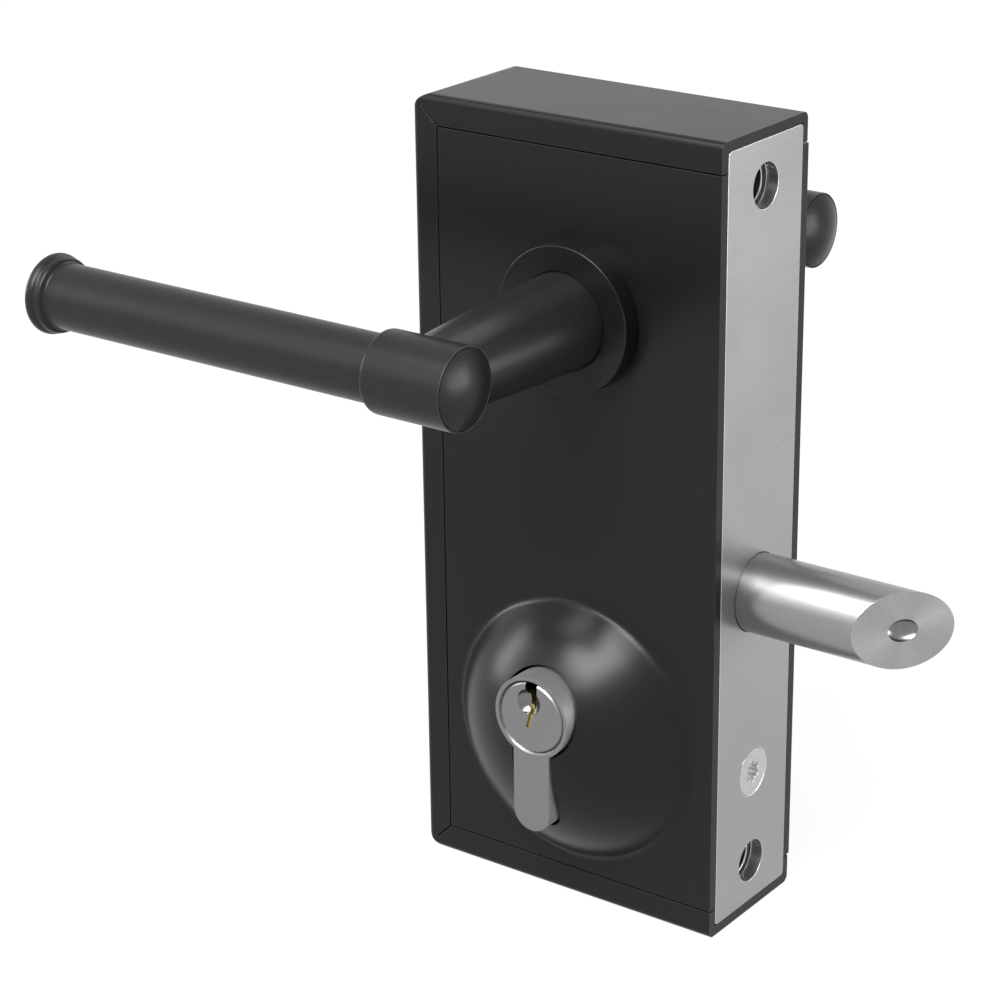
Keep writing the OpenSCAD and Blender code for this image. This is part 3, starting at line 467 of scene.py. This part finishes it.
# %% Round the solids
EDGE_WIDTH = {
    "case_band": 0.12, "rear_plate": 0.22, "front_plate": 0.22, "faceplate": 0.17, "case_posts": 0.2,
    "spindle": 0.4, "follower": 0.3, "drive_pin": 0.3, "drive_bush": 0.15, "rose_retainers": 0.12,
    "front_bearing": 0.08, "rear_bearing": 0.08, "front_grub_screw": 0.12, "rear_grub_screw": 0.12,
    "latch_pin": 0.12, "latch_rod": 0.35, "latch_carriage": 0.3, "carriage_screws": 0.06,
    "drive_plate": 0.25, "latch_guide": 0.3, "spring_seat": 0.15, "slide_strips": 0.3,
    "deadlock_slide": 0.2, "deadlock_pins": 0.2, "cylinder_cam": 0.25, "front_plug_clip": 0.08,
    "rear_plug_clip": 0.08, "cylinder_screw": 0.1,
}
for node, width in EDGE_WIDTH.items():
    shape = copied(node)
    if node == "faceplate":
        print("points moved at the back of the bolt holes:", flare_bolt_holes(shape))
    keen = round_edges(shape, width, 1)
    if node == "faceplate":
        print("bright faces in the bolt holes:", brighten_hole_walls(shape))
    if node == "cylinder_screw":
        # The recess walls take bright metal as painted light.
        paint_light_in_recess(shape)
    plain = FINISH[slot_of[node]]
    stand_in(node + "_rounded", shape, node, [plain, WORN.get(plain, rubbed), cut_edge_and_painted_light])
    print(node, "edges rounded:", keen, "by", width, "mm")

# %% [markdown]
# The levers, roses and necks are turned on a lathe, so they are built the way a lathe works: half of
# the outline goes round an axis. Each corner of the outline has its own small fillet, which gives
# the thin bright line that runs round the edge of a rose. A screw modifier would turn the outline as
# well, but it couldn't bend the end of the neck onto the elbow.

# %% A lathe for round pieces
FILLET_STEPS = 6
ON_AXIS = 0.001


def softened(corners):
    """Outline in mm whose corners (radius, along, fillet) are rounded by their own fillet."""
    points = []
    for i, (radius, along, fillet) in enumerate(corners):
        here = Vector((radius, along))
        if not fillet:
            points.append(here)
            continue
        before = Vector(corners[i - 1][:2]) - here
        after = Vector(corners[(i + 1) % len(corners)][:2]) - here
        reach = fillet / math.tan(before.angle(after) / 2)
        reach = min(reach, before.length * 0.49, after.length * 0.49)
        start = here + before.normalized() * reach
        end = here + after.normalized() * reach
        for k in range(FILLET_STEPS + 1):
            t = k / FILLET_STEPS
            points.append(start.lerp(here, t).lerp(here.lerp(end, t), t))
    return points


def turned_shape(corners, at, along, closed=False, steps=128, end_of=None):
    """Turns an outline round an axis through a point in mm; end_of may bend the places along it."""
    axis = Vector(along)
    side = Vector((0, 0, 1))
    other = axis.cross(side)
    shape = bmesh.new()
    rings = []
    for radius, place in softened(corners):
        ring = []
        for k in range(steps if radius > ON_AXIS else 1):
            angle = 2 * math.pi * k / steps
            out = radius * (math.cos(angle) * side + math.sin(angle) * other)
            reach = end_of(place, out) if end_of else place
            ring.append(shape.verts.new((Vector(at) + out + axis * reach) * MM))
        rings.append(ring)
    pairs = list(zip(rings, rings[1:]))
    if closed:
        pairs.append((rings[-1], rings[0]))
    for first, second in pairs:
        for k in range(steps):
            m = (k + 1) % steps
            if len(first) == 1:
                shape.faces.new((first[0], second[k], second[m]))
            elif len(second) == 1:
                shape.faces.new((first[k], second[0], first[m]))
            else:
                shape.faces.new((first[k], second[k], second[m], first[m]))
    bmesh.ops.recalc_face_normals(shape, faces=shape.faces)
    return shape


print("fillets have", FILLET_STEPS, "steps")

# %% [markdown]
# A rose is a turned disc with a spigot through the plate. Its lip closes up to the neck, so only a
# hairline shows between them and the bearing ring stays out of sight.

# %% Roses
SIDES = (("front", -1), ("rear", 1))
FINE_STEPS = 160
AXIS_X = -32.2
SPINDLE_Z = 42.7
PLATE_Y = 15.0
ROOT_Y = 19.4
NECK_IN_Y = 11.5
ROSE_R = 14.6
SPIGOT_R = 12.0
BORE_R = 10.3
LIP_R = 9.66
LIP_T = 0.36
ROSE_OUTLINE = [
    (ROSE_R, PLATE_Y, 0), (ROSE_R, ROOT_Y, 0.32), (LIP_R, ROOT_Y, 0.1), (LIP_R, ROOT_Y - LIP_T, 0),
    (BORE_R, ROOT_Y - LIP_T, 0), (BORE_R, NECK_IN_Y, 0), (SPIGOT_R, NECK_IN_Y, 0.2), (SPIGOT_R, PLATE_Y, 0),
]
for end, facing in SIDES:
    shape = turned_shape(ROSE_OUTLINE, (AXIS_X, 0, SPINDLE_Z), (0, facing, 0), closed=True,
                         steps=FINE_STEPS)
    rose = stand_in(end + "_rose_turned", shape, end + "_rose", [powder])
    print(rose.name, "faces:", len(rose.data.polygons))

# %% [markdown]
# The neck tapers from the rose to the elbow. Its far end would be a saddle milled to the round of the
# elbow. A boolean cut could make the saddle, but the ring of points at that end can simply be moved
# along the neck until it lies on the elbow, which keeps the mesh clean.

# %% Necks
LEVER_Y = 60.3
ELBOW_R = 7.85
NECK_BORE_R = 5.7
SPINDLE_HOLE_R = 3.0
BORE_END_Y = 37.4
SINK = 0.02


def saddle(place, out):
    """Moves the end of the neck onto the round of the elbow."""
    if place < LEVER_Y - 0.01:
        return place
    return LEVER_Y - math.sqrt(ELBOW_R ** 2 - out.z ** 2) + SINK


NECK_OUTLINE = [
    (NECK_BORE_R, NECK_IN_Y, 0), (9.5, NECK_IN_Y, 0.3), (9.5, ROOT_Y + 0.2, 0), (8.62, 40.5, 0),
    (7.94, 52.0, 0), (7.6, LEVER_Y, 0), (SPINDLE_HOLE_R, LEVER_Y, 0), (SPINDLE_HOLE_R, BORE_END_Y, 0),
    (NECK_BORE_R, BORE_END_Y, 0),
]
for end, facing in SIDES:
    shape = turned_shape(NECK_OUTLINE, (AXIS_X, 0, SPINDLE_Z), (0, facing, 0), closed=True,
                         steps=FINE_STEPS, end_of=saddle)
    neck = stand_in(end + "_neck_turned", shape, end + "_neck", [lever_coat_painted_light])
    print(neck.name, "faces:", len(neck.data.polygons))

# %% [markdown]
# The elbow is a collar with a rounded shoulder towards the bar and a low dome at its other end, where
# a cap was pressed in with a narrow gap round it. The bar is a plain round tube. Its end cap flares
# in a smooth cove into two rings with a groove between them, so a few measured points with a smooth
# curve through them describe it better than straight lines with fillets would.

# %% Outlines that curve
DOME_STEPS = 14
FLOW_STEPS = 5


def dome(base_r, rise, start):
    """Outline of a low dome, from its rim to its top."""
    ball = (base_r ** 2 + rise ** 2) / (2 * rise)
    top = math.asin(base_r / ball)
    turns = [top * (1 - k / DOME_STEPS) for k in range(1, DOME_STEPS)]
    low = start + rise - ball
    rim_to_top = [(ball * math.sin(turn), low + ball * math.cos(turn), 0) for turn in turns]
    return rim_to_top + [(0, start + rise, 0)]


def flowing(points):
    """Outline that passes smoothly through points of (radius, along)."""
    outline = []
    for i in range(1, len(points) - 2):
        a, b, c, d = [Vector(point) for point in points[i - 1:i + 3]]
        for k in range(FLOW_STEPS):
            t = k / FLOW_STEPS
            place = 0.5 * (2 * b + (c - a) * t + (2 * a - 5 * b + 4 * c - d) * t ** 2
                           + (3 * b - a - 3 * c + d) * t ** 3)
            outline.append((*place, 0))
    return outline


print("a dome has", DOME_STEPS, "steps, a flowing line", FLOW_STEPS, "between two points")

# %% [markdown]
# The rim of the elbow, just outside the gap, is where a hand rubs the coat, so its fillet takes the
# worn finish. The rear lever is the mirror image of the front one, with a bar 2 mm shorter.

# %% Elbows, bars and end caps
BAR_X = -41.5
BAR_R = 6.45
CAP_X = {"front": -118.5, "rear": -116.5}
TO_SIDE = Vector((1, 0, 0))
ELBOW_LEN = 17.8
DOME_R = 7.52
DOME_RISE = 1.9
GAP_HALF = 0.08
GAP_DEPTH = 0.3
RIM_DEPTH = 0.22
DOME_START = ELBOW_LEN + 0.02
ELBOW_OUTLINE = [
    (0, 0, 0), (ELBOW_R, 0, 1.0), (ELBOW_R, ELBOW_LEN, 0.2), (DOME_R + GAP_HALF, ELBOW_LEN, 0.06),
    (DOME_R + GAP_HALF, ELBOW_LEN - GAP_DEPTH, 0), (DOME_R - GAP_HALF, ELBOW_LEN - GAP_DEPTH, 0),
    (DOME_R - GAP_HALF, DOME_START, 0),
] + dome(DOME_R - GAP_HALF, DOME_RISE - 0.02, DOME_START)
CAP_FLOW = [
    (BAR_R, -2.6), (BAR_R, -1.0), (BAR_R, 0.2), (6.50, 0.7), (6.76, 1.0), (7.15, 1.2), (7.37, 1.5),
    (7.43, 1.9), (7.38, 2.25), (7.46, 2.6), (7.75, 3.0), (7.93, 3.6), (7.88, 4.2), (7.55, 4.7),
    (6.9, 4.92), (6.0, 5.0),
]
CAP_OUTLINE = [(0, -1.9, 0)] + flowing(CAP_FLOW) + [(6.2, 5.0, 0.1), (4.4, 5.3, 0.3), (0, 5.4, 0)]
for end, facing in SIDES:
    middle = (0, facing * LEVER_Y, SPINDLE_Z)
    bare = BAR_X - CAP_X[end]
    bar_outline = [(0, 0, 0), (BAR_R, 0, 0), (BAR_R, bare, 0), (0, bare, 0)]
    outlines = {
        "elbow": (ELBOW_OUTLINE, BAR_X, TO_SIDE), "bar": (bar_outline, CAP_X[end], TO_SIDE),
        "end_cap": (CAP_OUTLINE, CAP_X[end], -TO_SIDE),
    }
    for part, (outline, start, along) in outlines.items():
        shape = turned_shape(outline, (start, *middle[1:]), along)
        for face in shape.faces:
            from_rim = face.calc_center_median().x / MM - BAR_X - ELBOW_LEN
            if part == "elbow" and -RIM_DEPTH < from_rim < 0.01 and abs(face.normal.x) > 0.1:
                face.material_index = 1
        piece = stand_in(end + "_" + part + "_turned", shape, end + "_" + part, [lever_coat_painted_light, powder_worn])
        print(piece.name, "faces:", len(piece.data.polygons))

# %% [markdown]
# The latch is a turned steel rod. Its tip was cut on a slant, so that it rides over the striker, and
# a ball-ended tool left a bright pit in the middle of the slanted face. A boolean with a sphere would
# leave long slivers round the rim. Here the walls of the solid's pit are taken out, and rings of
# points that follow the rim build a shallow bowl.

# %% The pit in the latch
LATCH_Z = -11.1
LATCH_REACH = 32.0
LATCH_SLOPE = 0.84
PIT_R = 2.3
PIT_DEPTH = 2.1
PIT_STEPS = 10
PIT_FROM_X = 26
ON_SLANT = 0.01


def on_slant(middle):
    """Says if the middle of a face, in mm, lies on the slanted face of the latch."""
    return abs(middle.x - LATCH_REACH - LATCH_SLOPE * middle.y) < ON_SLANT


def from_latch_axis(middle):
    """Distance in mm from the axis of the latch."""
    return math.hypot(middle.y, middle.z - LATCH_Z)


shape = copied("latch_bolt")
pit = []
for face in shape.faces:
    middle = face.calc_center_median() / MM
    if from_latch_axis(middle) < PIT_R and middle.x > PIT_FROM_X and not on_slant(middle):
        pit.append(face)
bmesh.ops.delete(shape, geom=pit, context="FACES")
rim = [edge for edge in shape.edges if len(edge.link_faces) == 1]
rim_verts = sorted({vert for edge in rim for vert in edge.verts},
                   key=lambda vert: math.atan2(vert.co.z / MM - LATCH_Z, vert.co.y / MM))
ring = rim_verts
for k in range(1, PIT_STEPS):
    turn = math.pi / 2 * k / PIT_STEPS
    inner = []
    for vert in rim_verts:
        y = vert.co.y / MM * math.cos(turn)
        z = LATCH_Z + (vert.co.z / MM - LATCH_Z) * math.cos(turn)
        x = LATCH_REACH + LATCH_SLOPE * y - PIT_DEPTH * math.sin(turn)
        inner.append(shape.verts.new(Vector((x, y, z)) * MM))
    for i in range(len(ring)):
        shape.faces.new((ring[i - 1], ring[i], inner[i], inner[i - 1]))
    ring = inner
shape.faces.new(ring)
bmesh.ops.recalc_face_normals(shape, faces=shape.faces)
print("points in the rim of the pit:", len(rim_verts))

# %% [markdown]
# The latch has three finishes and a bright cut edge between them. Its faces are sorted by where they
# are: on the slant, in the pit, or on the round of the rod.

# %% Latch bolt
PIT_RIM = 0.12
round_edges(shape, 0.16, 3)
for face in shape.faces:
    middle = face.calc_center_median() / MM
    if on_slant(middle):
        face.material_index = 2
    elif from_latch_axis(middle) < PIT_R + PIT_RIM and middle.x > PIT_FROM_X:
        face.material_index = 1
latch = stand_in("latch_bolt_turned", shape, "latch_bolt", [turned, drilled, tip_faced, cut_edge_and_painted_light])
print(latch.name, "reaches", round(max(v.co.x for v in latch.data.vertices) / MM, 1), "mm")

# %% [markdown]
# The two fixing pillars hold the M8 threads. A thread is a ridge that winds round the wall of the
# bore. Bump could hint at it, but the photograph looks straight into the bores, so it is real. First
# the bore of the copy is opened from the solid's core radius to the thread's outer radius.

# %% Fixing pillars
CORE_R = 3.4
THREAD_R = 4.0
NEAR_WALL = 0.05
PILLAR_FACE_X = -4.6
shape = copied("fixing_pillars")
for vert in shape.verts:
    for height in (BOLT_Z, -BOLT_Z):
        out = Vector((0, vert.co.y, vert.co.z - height * MM))
        if abs(out.length - CORE_R * MM) < NEAR_WALL * MM:
            vert.co += out.normalized() * (THREAD_R - CORE_R) * MM
round_edges(shape, 0.3, 1)
for face in shape.faces:
    middle = face.calc_center_median() / MM
    across = math.hypot(middle.y, abs(middle.z) - BOLT_Z)
    if across < THREAD_R + NEAR_WALL and middle.x < PILLAR_FACE_X:
        face.material_index = 2
pillars = stand_in("fixing_pillars_bored", shape, "fixing_pillars", [zinc, rubbed, oil_and_painted_shade])
print(pillars.name, "bore radius:", THREAD_R, "mm")

# %% [markdown]
# Then a ridge with a V section is swept along a helix in each bore, so that its crests stay on the
# core radius of the solid.

# %% Threads
THREAD_PITCH = 1.25
THREAD_FROM = -21.6
THREAD_TO = -5.2
THREAD_STEPS = 40
V_SECTION = [(THREAD_R + 0.02, -0.46), (CORE_R, -0.07), (CORE_R, 0.07), (THREAD_R + 0.02, 0.46)]
ridge = bmesh.new()
turns = (THREAD_TO - THREAD_FROM) / THREAD_PITCH
for height in (BOLT_Z, -BOLT_Z):
    rings = []
    for k in range(int(turns * THREAD_STEPS) + 1):
        angle = 2 * math.pi * k / THREAD_STEPS
        start = THREAD_FROM + THREAD_PITCH * k / THREAD_STEPS
        ring = []
        for radius, shift in V_SECTION:
            x = start + shift * THREAD_PITCH
            y = radius * math.cos(angle)
            z = height + radius * math.sin(angle)
            ring.append(ridge.verts.new(Vector((x, y, z)) * MM))
        rings.append(ring)
    for first, second in zip(rings, rings[1:]):
        for i in range(len(V_SECTION)):
            j = (i + 1) % len(V_SECTION)
            ridge.faces.new((first[i], second[i], second[j], first[j]))
    ridge.faces.new(rings[0])
    ridge.faces.new(rings[-1])
bmesh.ops.recalc_face_normals(ridge, faces=ridge.faces)
threads = stand_in("fixing_threads", ridge, "fixing_pillars", [oil_and_painted_shade])
print(threads.name, "turns in each pillar:", round(turns, 1))

# %% [markdown]
# The cylinder is nickel plated brass with satin ends and blasted sides. A turned ring runs round each plug,
# where the mouth of the bore was chamfered, and the chamfer takes the dark oiled metal as painted shade.
# The faces are sorted by their slope and by their distance from the plug's axis.

# %% Cylinder body
PLUG_Z = -35.0
END_Y = 30
MOUTH_FROM = 7.3
MOUTH_TO = 8.0
FLAT_END = 0.99
SIDEWAYS = 0.5


def from_plug_axis(middle):
    """Distance in mm from the axis that both plugs turn on."""
    return math.hypot(middle.x - AXIS_X, middle.z - PLUG_Z)


shape = copied("cylinder_body")
round_edges(shape, 0.2, 1)
for face in shape.faces:
    middle = face.calc_center_median() / MM
    slope = abs(face.normal.y)
    # The mouth chamfer takes the dark oiled metal as painted shade.
    if abs(middle.y) > END_Y - 0.5 and MOUTH_FROM < from_plug_axis(middle) < MOUTH_TO and slope < FLAT_END:
        face.material_index = 3
    elif slope < SIDEWAYS:
        face.material_index = 2
    elif slope > FLAT_END:
        face.material_index = 0
body = stand_in("cylinder_body_plated", shape, "cylinder_body", [nickel, nickel_edge, nickel_side, oil_and_painted_shade])
print(body.name, "faces:", len(body.data.polygons))

# %% [markdown]
# Each plug has a polished bowl that leads the key in, and bare brass shows in its slot. Two strips of
# brass, the wards, stand in the front slot and make it the zigzag that one sees. They start at two
# depths below the face.

# %% Plugs
BOWL_X = AXIS_X - 0.5
BOWL_Z = PLUG_Z + 3.2
BOWL_R = 2.75
BOWL_DEPTH = 1.7
SLOT_R = 6.5
SLOT_DEPTH = 24
PLUG_EDGE_R = 6.9
FLAT_FACE = 0.995
WARD_END_Y = -24
WARDS = (
    ([(-0.42, 0.55), (-1.1, -2.1), (-0.36, -2.2), (0.42, 0.6)], -29.6),
    ([(-0.8, 2.4), (-0.42, 0.5), (0.42, 0.55), (0.05, 2.4)], -28.75),
)


def add_wards(shape):
    """Adds the two strips of brass in the slot of the front plug."""
    for ward, near in WARDS:
        rims = []
        for y in (near, WARD_END_Y):
            rims.append([shape.verts.new(Vector((AXIS_X + x, y, PLUG_Z + z)) * MM) for x, z in ward])
        front, back = rims
        walls = [shape.faces.new((front[i], front[i - 1], back[i - 1], back[i])) for i in range(len(ward))]
        for face in walls + [shape.faces.new(front), shape.faces.new(back)]:
            face.material_index = 2
    bmesh.ops.recalc_face_normals(shape, faces=shape.faces)


for end, facing in SIDES:
    shape = copied(end + "_plug")
    round_edges(shape, 0.1, 1)
    for face in shape.faces:
        middle = face.calc_center_median() / MM
        deep = END_Y - abs(middle.y)
        level = abs(face.normal.y) > FLAT_FACE
        from_bowl = math.hypot(middle.x - BOWL_X, middle.z - BOWL_Z)
        from_axis = from_plug_axis(middle)
        if deep < BOWL_DEPTH and from_bowl < BOWL_R and not level:
            face.material_index = 1
        elif 0.02 < deep < SLOT_DEPTH and from_axis < SLOT_R and not level:
            face.material_index = 2
        elif from_axis < PLUG_EDGE_R and level:
            face.material_index = 0
        elif from_axis > PLUG_EDGE_R and not level:
            face.material_index = 3
    if end == "front":
        add_wards(shape)
    plug = stand_in(end + "_plug_plated", shape, end + "_plug", [nickel, polished, brass, nickel_edge])
    print(plug.name, "faces:", len(plug.data.polygons))

# %% [markdown]
# The springs are wound from drawn wire. A curve with a round bevel is the simplest way to sweep a
# wire along a helix. The curve is only a draft: its mesh becomes the piece.

# %% How a spring is wound


def wound(name, node, paths, wire_r):
    """Wire of a radius along paths in mm, in the place of a solid."""
    curve = bpy.data.curves.new(name, "CURVE")
    curve.dimensions = "3D"
    curve.bevel_depth = wire_r * MM
    curve.bevel_resolution = 3
    curve.use_fill_caps = True
    for path in paths:
        spline = curve.splines.new("POLY")
        spline.points.add(len(path) - 1)
        for point, place in zip(spline.points, path):
            point.co = (*(Vector(place) * MM), 1)
    draft = bpy.data.objects.new(name + "_draft", curve)
    bpy.context.scene.collection.objects.link(draft)
    bpy.context.view_layer.update()
    shape = bmesh.new()
    shape.from_mesh(draft.to_mesh())
    bpy.data.objects.remove(draft)
    return stand_in(name, shape, node, [FINISH[slot_of[node]]])


print("springs take their wire from", FINISH[slot_of["latch_spring"]].name)

# %% [markdown]
# The latch spring sits round the rod. Its first and last turns lie flat against each other, as on
# every compression spring, and the turns between them are open. It is squashed by the latch as it
# slides in, towards its seat on the back wall.

# %% Latch spring
SPRING_R = 4.0
WIRE_R = 0.6
SEAT_X = -66.0
CARRIAGE_X = -28.0
SPRING_TURNS = 11
TURN_STEPS = 24
first_x = SEAT_X + WIRE_R
last_x = CARRIAGE_X - WIRE_R
dead = 2 * WIRE_R + 0.05
rise = (last_x - first_x - 2 * dead) / (SPRING_TURNS - 2)
path = []
for k in range(SPRING_TURNS * TURN_STEPS + 1):
    t = k / TURN_STEPS
    angle = 2 * math.pi * t
    along = dead * t if t < 1 else dead + rise * (t - 1)
    if t > SPRING_TURNS - 1:
        along = dead + rise * (SPRING_TURNS - 2) + dead * (t - SPRING_TURNS + 1)
    path.append((first_x + along, SPRING_R * math.cos(angle), LATCH_Z + SPRING_R * math.sin(angle)))
spring = wound("latch_spring_wound", "latch_spring", [path], WIRE_R)
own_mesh(spring)
print(spring.name, "turns:", SPRING_TURNS)

# %% [markdown]
# The springs behind the key pins are plain tubes among the solids. Each loose tube is found by
# walking from point to point, and a coil is wound in the box that it fills.

# %% Pin springs
PIN_WIRE_R = 0.16
PIN_TURNS = 9
PIN_STEPS = 16
tubes = bmesh.new()
tubes.from_mesh(nodes["pin_springs"].data)
visited = set()
pin_paths = []
for first in tubes.verts:
    if first in visited:
        continue
    tube = set()
    ahead = [first]
    while ahead:
        vert = ahead.pop()
        if vert in tube:
            continue
        tube.add(vert)
        ahead.extend(edge.other_vert(vert) for edge in vert.link_edges)
    visited |= tube
    low = Vector([min(vert.co[i] for vert in tube) / MM for i in range(3)])
    high = Vector([max(vert.co[i] for vert in tube) / MM for i in range(3)])
    middle = (low + high) / 2
    coil_r = (high.x - low.x) / 2 - PIN_WIRE_R
    path = []
    for k in range(PIN_TURNS * PIN_STEPS + 1):
        angle = 2 * math.pi * k / PIN_STEPS
        rise = low.z + PIN_WIRE_R + (high.z - low.z - 2 * PIN_WIRE_R) * k / (PIN_TURNS * PIN_STEPS)
        path.append((middle.x + coil_r * math.cos(angle), middle.y + coil_r * math.sin(angle), rise))
    pin_paths.append(path)
tubes.free()
pin_coils = wound("pin_springs_wound", "pin_springs", pin_paths, PIN_WIRE_R)
print(pin_coils.name, "springs:", len(pin_paths))

# %% [markdown]
# The floor is one large sheet just under the lock. It belongs to the stage and not to the lock. It is so
# large that its far edge is never seen as a line.

# %% Floor
FLOOR_HALF = 20.0
FLOOR_GAP = 0.0002
floor_z = cad_low[2] - FLOOR_GAP
corners = [(x * FLOOR_HALF, y * FLOOR_HALF, floor_z) for x, y in ((-1, -1), (1, -1), (1, 1), (-1, 1))]
floor_mesh = bpy.data.meshes.new("floor")
floor_mesh.from_pydata(corners, [], [(0, 1, 2, 3)])
floor = bpy.data.objects.new("floor", floor_mesh)
bpy.context.scene.collection.objects.link(floor)
print("floor at", round(floor_z / MM, 1), "mm")

# %% [markdown]
# The floor is plain white paper. Light falls on it and it takes the shadow, but what the camera or a
# piece of metal sees of it is mostly its own even white, so the background stays clean. More light on
# a grey floor would whiten it as well, but it would wash out the lock.

# %% White paper
PAPER = 0.8
PAPER_GLOW = 0.94


def seen(tree):
    """1 for a ray that shows the backdrop: straight from the camera, or by way of metal or glass."""
    path = tree.nodes.new("ShaderNodeLightPath")
    first = tree.nodes.new("ShaderNodeMath")
    first.operation = "ADD"
    second = tree.nodes.new("ShaderNodeMath")
    second.operation = "ADD"
    second.use_clamp = True
    tree.links.new(path.outputs["Is Camera Ray"], first.inputs[0])
    tree.links.new(path.outputs["Is Glossy Ray"], first.inputs[1])
    tree.links.new(first.outputs["Value"], second.inputs[0])
    tree.links.new(path.outputs["Is Transmission Ray"], second.inputs[1])
    return second.outputs["Value"]


paper_white = bpy.data.materials.new("white_paper")
paper_white.use_nodes = True
tree = paper_white.node_tree
paper = tree.nodes["Principled BSDF"]
paper.inputs["Base Color"].default_value = (PAPER, PAPER, PAPER, 1)
paper.inputs["Roughness"].default_value = 1.0
paper.inputs["Specular IOR Level"].default_value = 0.0
glow = tree.nodes.new("ShaderNodeEmission")
glow.inputs["Strength"].default_value = 1.0
share = tree.nodes.new("ShaderNodeMath")
share.operation = "MULTIPLY"
share.inputs[1].default_value = PAPER_GLOW
mix = tree.nodes.new("ShaderNodeMixShader")
tree.links.new(seen(tree), share.inputs[0])
tree.links.new(share.outputs["Value"], mix.inputs["Fac"])
tree.links.new(paper.outputs["BSDF"], mix.inputs[1])
tree.links.new(glow.outputs["Emission"], mix.inputs[2])
tree.links.new(mix.outputs["Shader"], tree.nodes["Material Output"].inputs["Surface"])
floor_mesh.materials.append(paper_white)
print("of its own white the paper shows", PAPER_GLOW)

# %% [markdown]
# The world behind the floor is white to the same rays, and much dimmer where it only lights the lock,
# so that the lamps shape it and the world just softens their shadows.

# %% World
WORLD_LIGHT = 0.28
WHITE = (1, 1, 1, 1)
world = bpy.data.worlds.new("studio")
bpy.context.scene.world = world
world.use_nodes = True
tree = world.node_tree
soft = tree.nodes["Background"]
soft.inputs["Color"].default_value = WHITE
soft.inputs["Strength"].default_value = WORLD_LIGHT
back = tree.nodes.new("ShaderNodeBackground")
back.inputs["Color"].default_value = WHITE
back.inputs["Strength"].default_value = 1.0
mix = tree.nodes.new("ShaderNodeMixShader")
tree.links.new(seen(tree), mix.inputs["Fac"])
tree.links.new(soft.outputs["Background"], mix.inputs[1])
tree.links.new(back.outputs["Background"], mix.inputs[2])
tree.links.new(mix.outputs["Shader"], tree.nodes["World Output"].inputs["Surface"])
print("light of the world:", WORLD_LIGHT)

# %% [markdown]
# The lamps are soft panels like those of a small studio: a tall key above the front, a weaker one at
# its left, low panels at the left and right for the rims, a broad one that fills the levers, and one
# behind. A lamp is given by its angles and its brightness per area, because that is what a glossy
# coat mirrors: a panel can grow or come closer and its reflection stays as bright.

# %% Light
MIDDLE = (-0.035, -0.02, 0.0)


def softbox(name, turn, rise, distance, size, radiance, roll=0.0, target=MIDDLE):
    """Panel turned to the right of the front and raised by angles, with an even brightness."""
    data = bpy.data.lights.new(name, "AREA")
    data.shape = "RECTANGLE"
    data.size, data.size_y = size
    data.energy = radiance * math.pi * size[0] * size[1]
    lamp = bpy.data.objects.new(name, data)
    turn, rise = math.radians(turn), math.radians(rise)
    back = Vector((math.sin(turn) * math.cos(rise), -math.cos(turn) * math.cos(rise), math.sin(rise)))
    facing = back.to_track_quat("Z", "Y").to_matrix().to_4x4()
    at = Vector(target) + distance * back
    lamp.matrix_world = Matrix.Translation(at) @ facing @ Matrix.Rotation(math.radians(roll), 4, "Z")
    lamp.visible_camera = False
    bpy.context.scene.collection.objects.link(lamp)
    print("lamp", name, [round(v, 2) for v in at], round(data.energy, 2), "W")


softbox("key", 2, 51, 1.2, (0.64, 0.88), 25, roll=-36)
softbox("upper_left", -45, 58, 1.2, (0.28, 0.44), 9)
softbox("front_left", -46, 24, 1.4, (0.8, 0.6), 1.6)
softbox("left", -73, 14, 1.2, (0.30, 0.56), 12.0)
softbox("right", 114, -2, 0.62, (0.40, 0.26), 11.0, target=(-0.02, -0.06, 0.03))
softbox("rear", 172, 38, 1.4, (0.8, 0.8), 4.0)
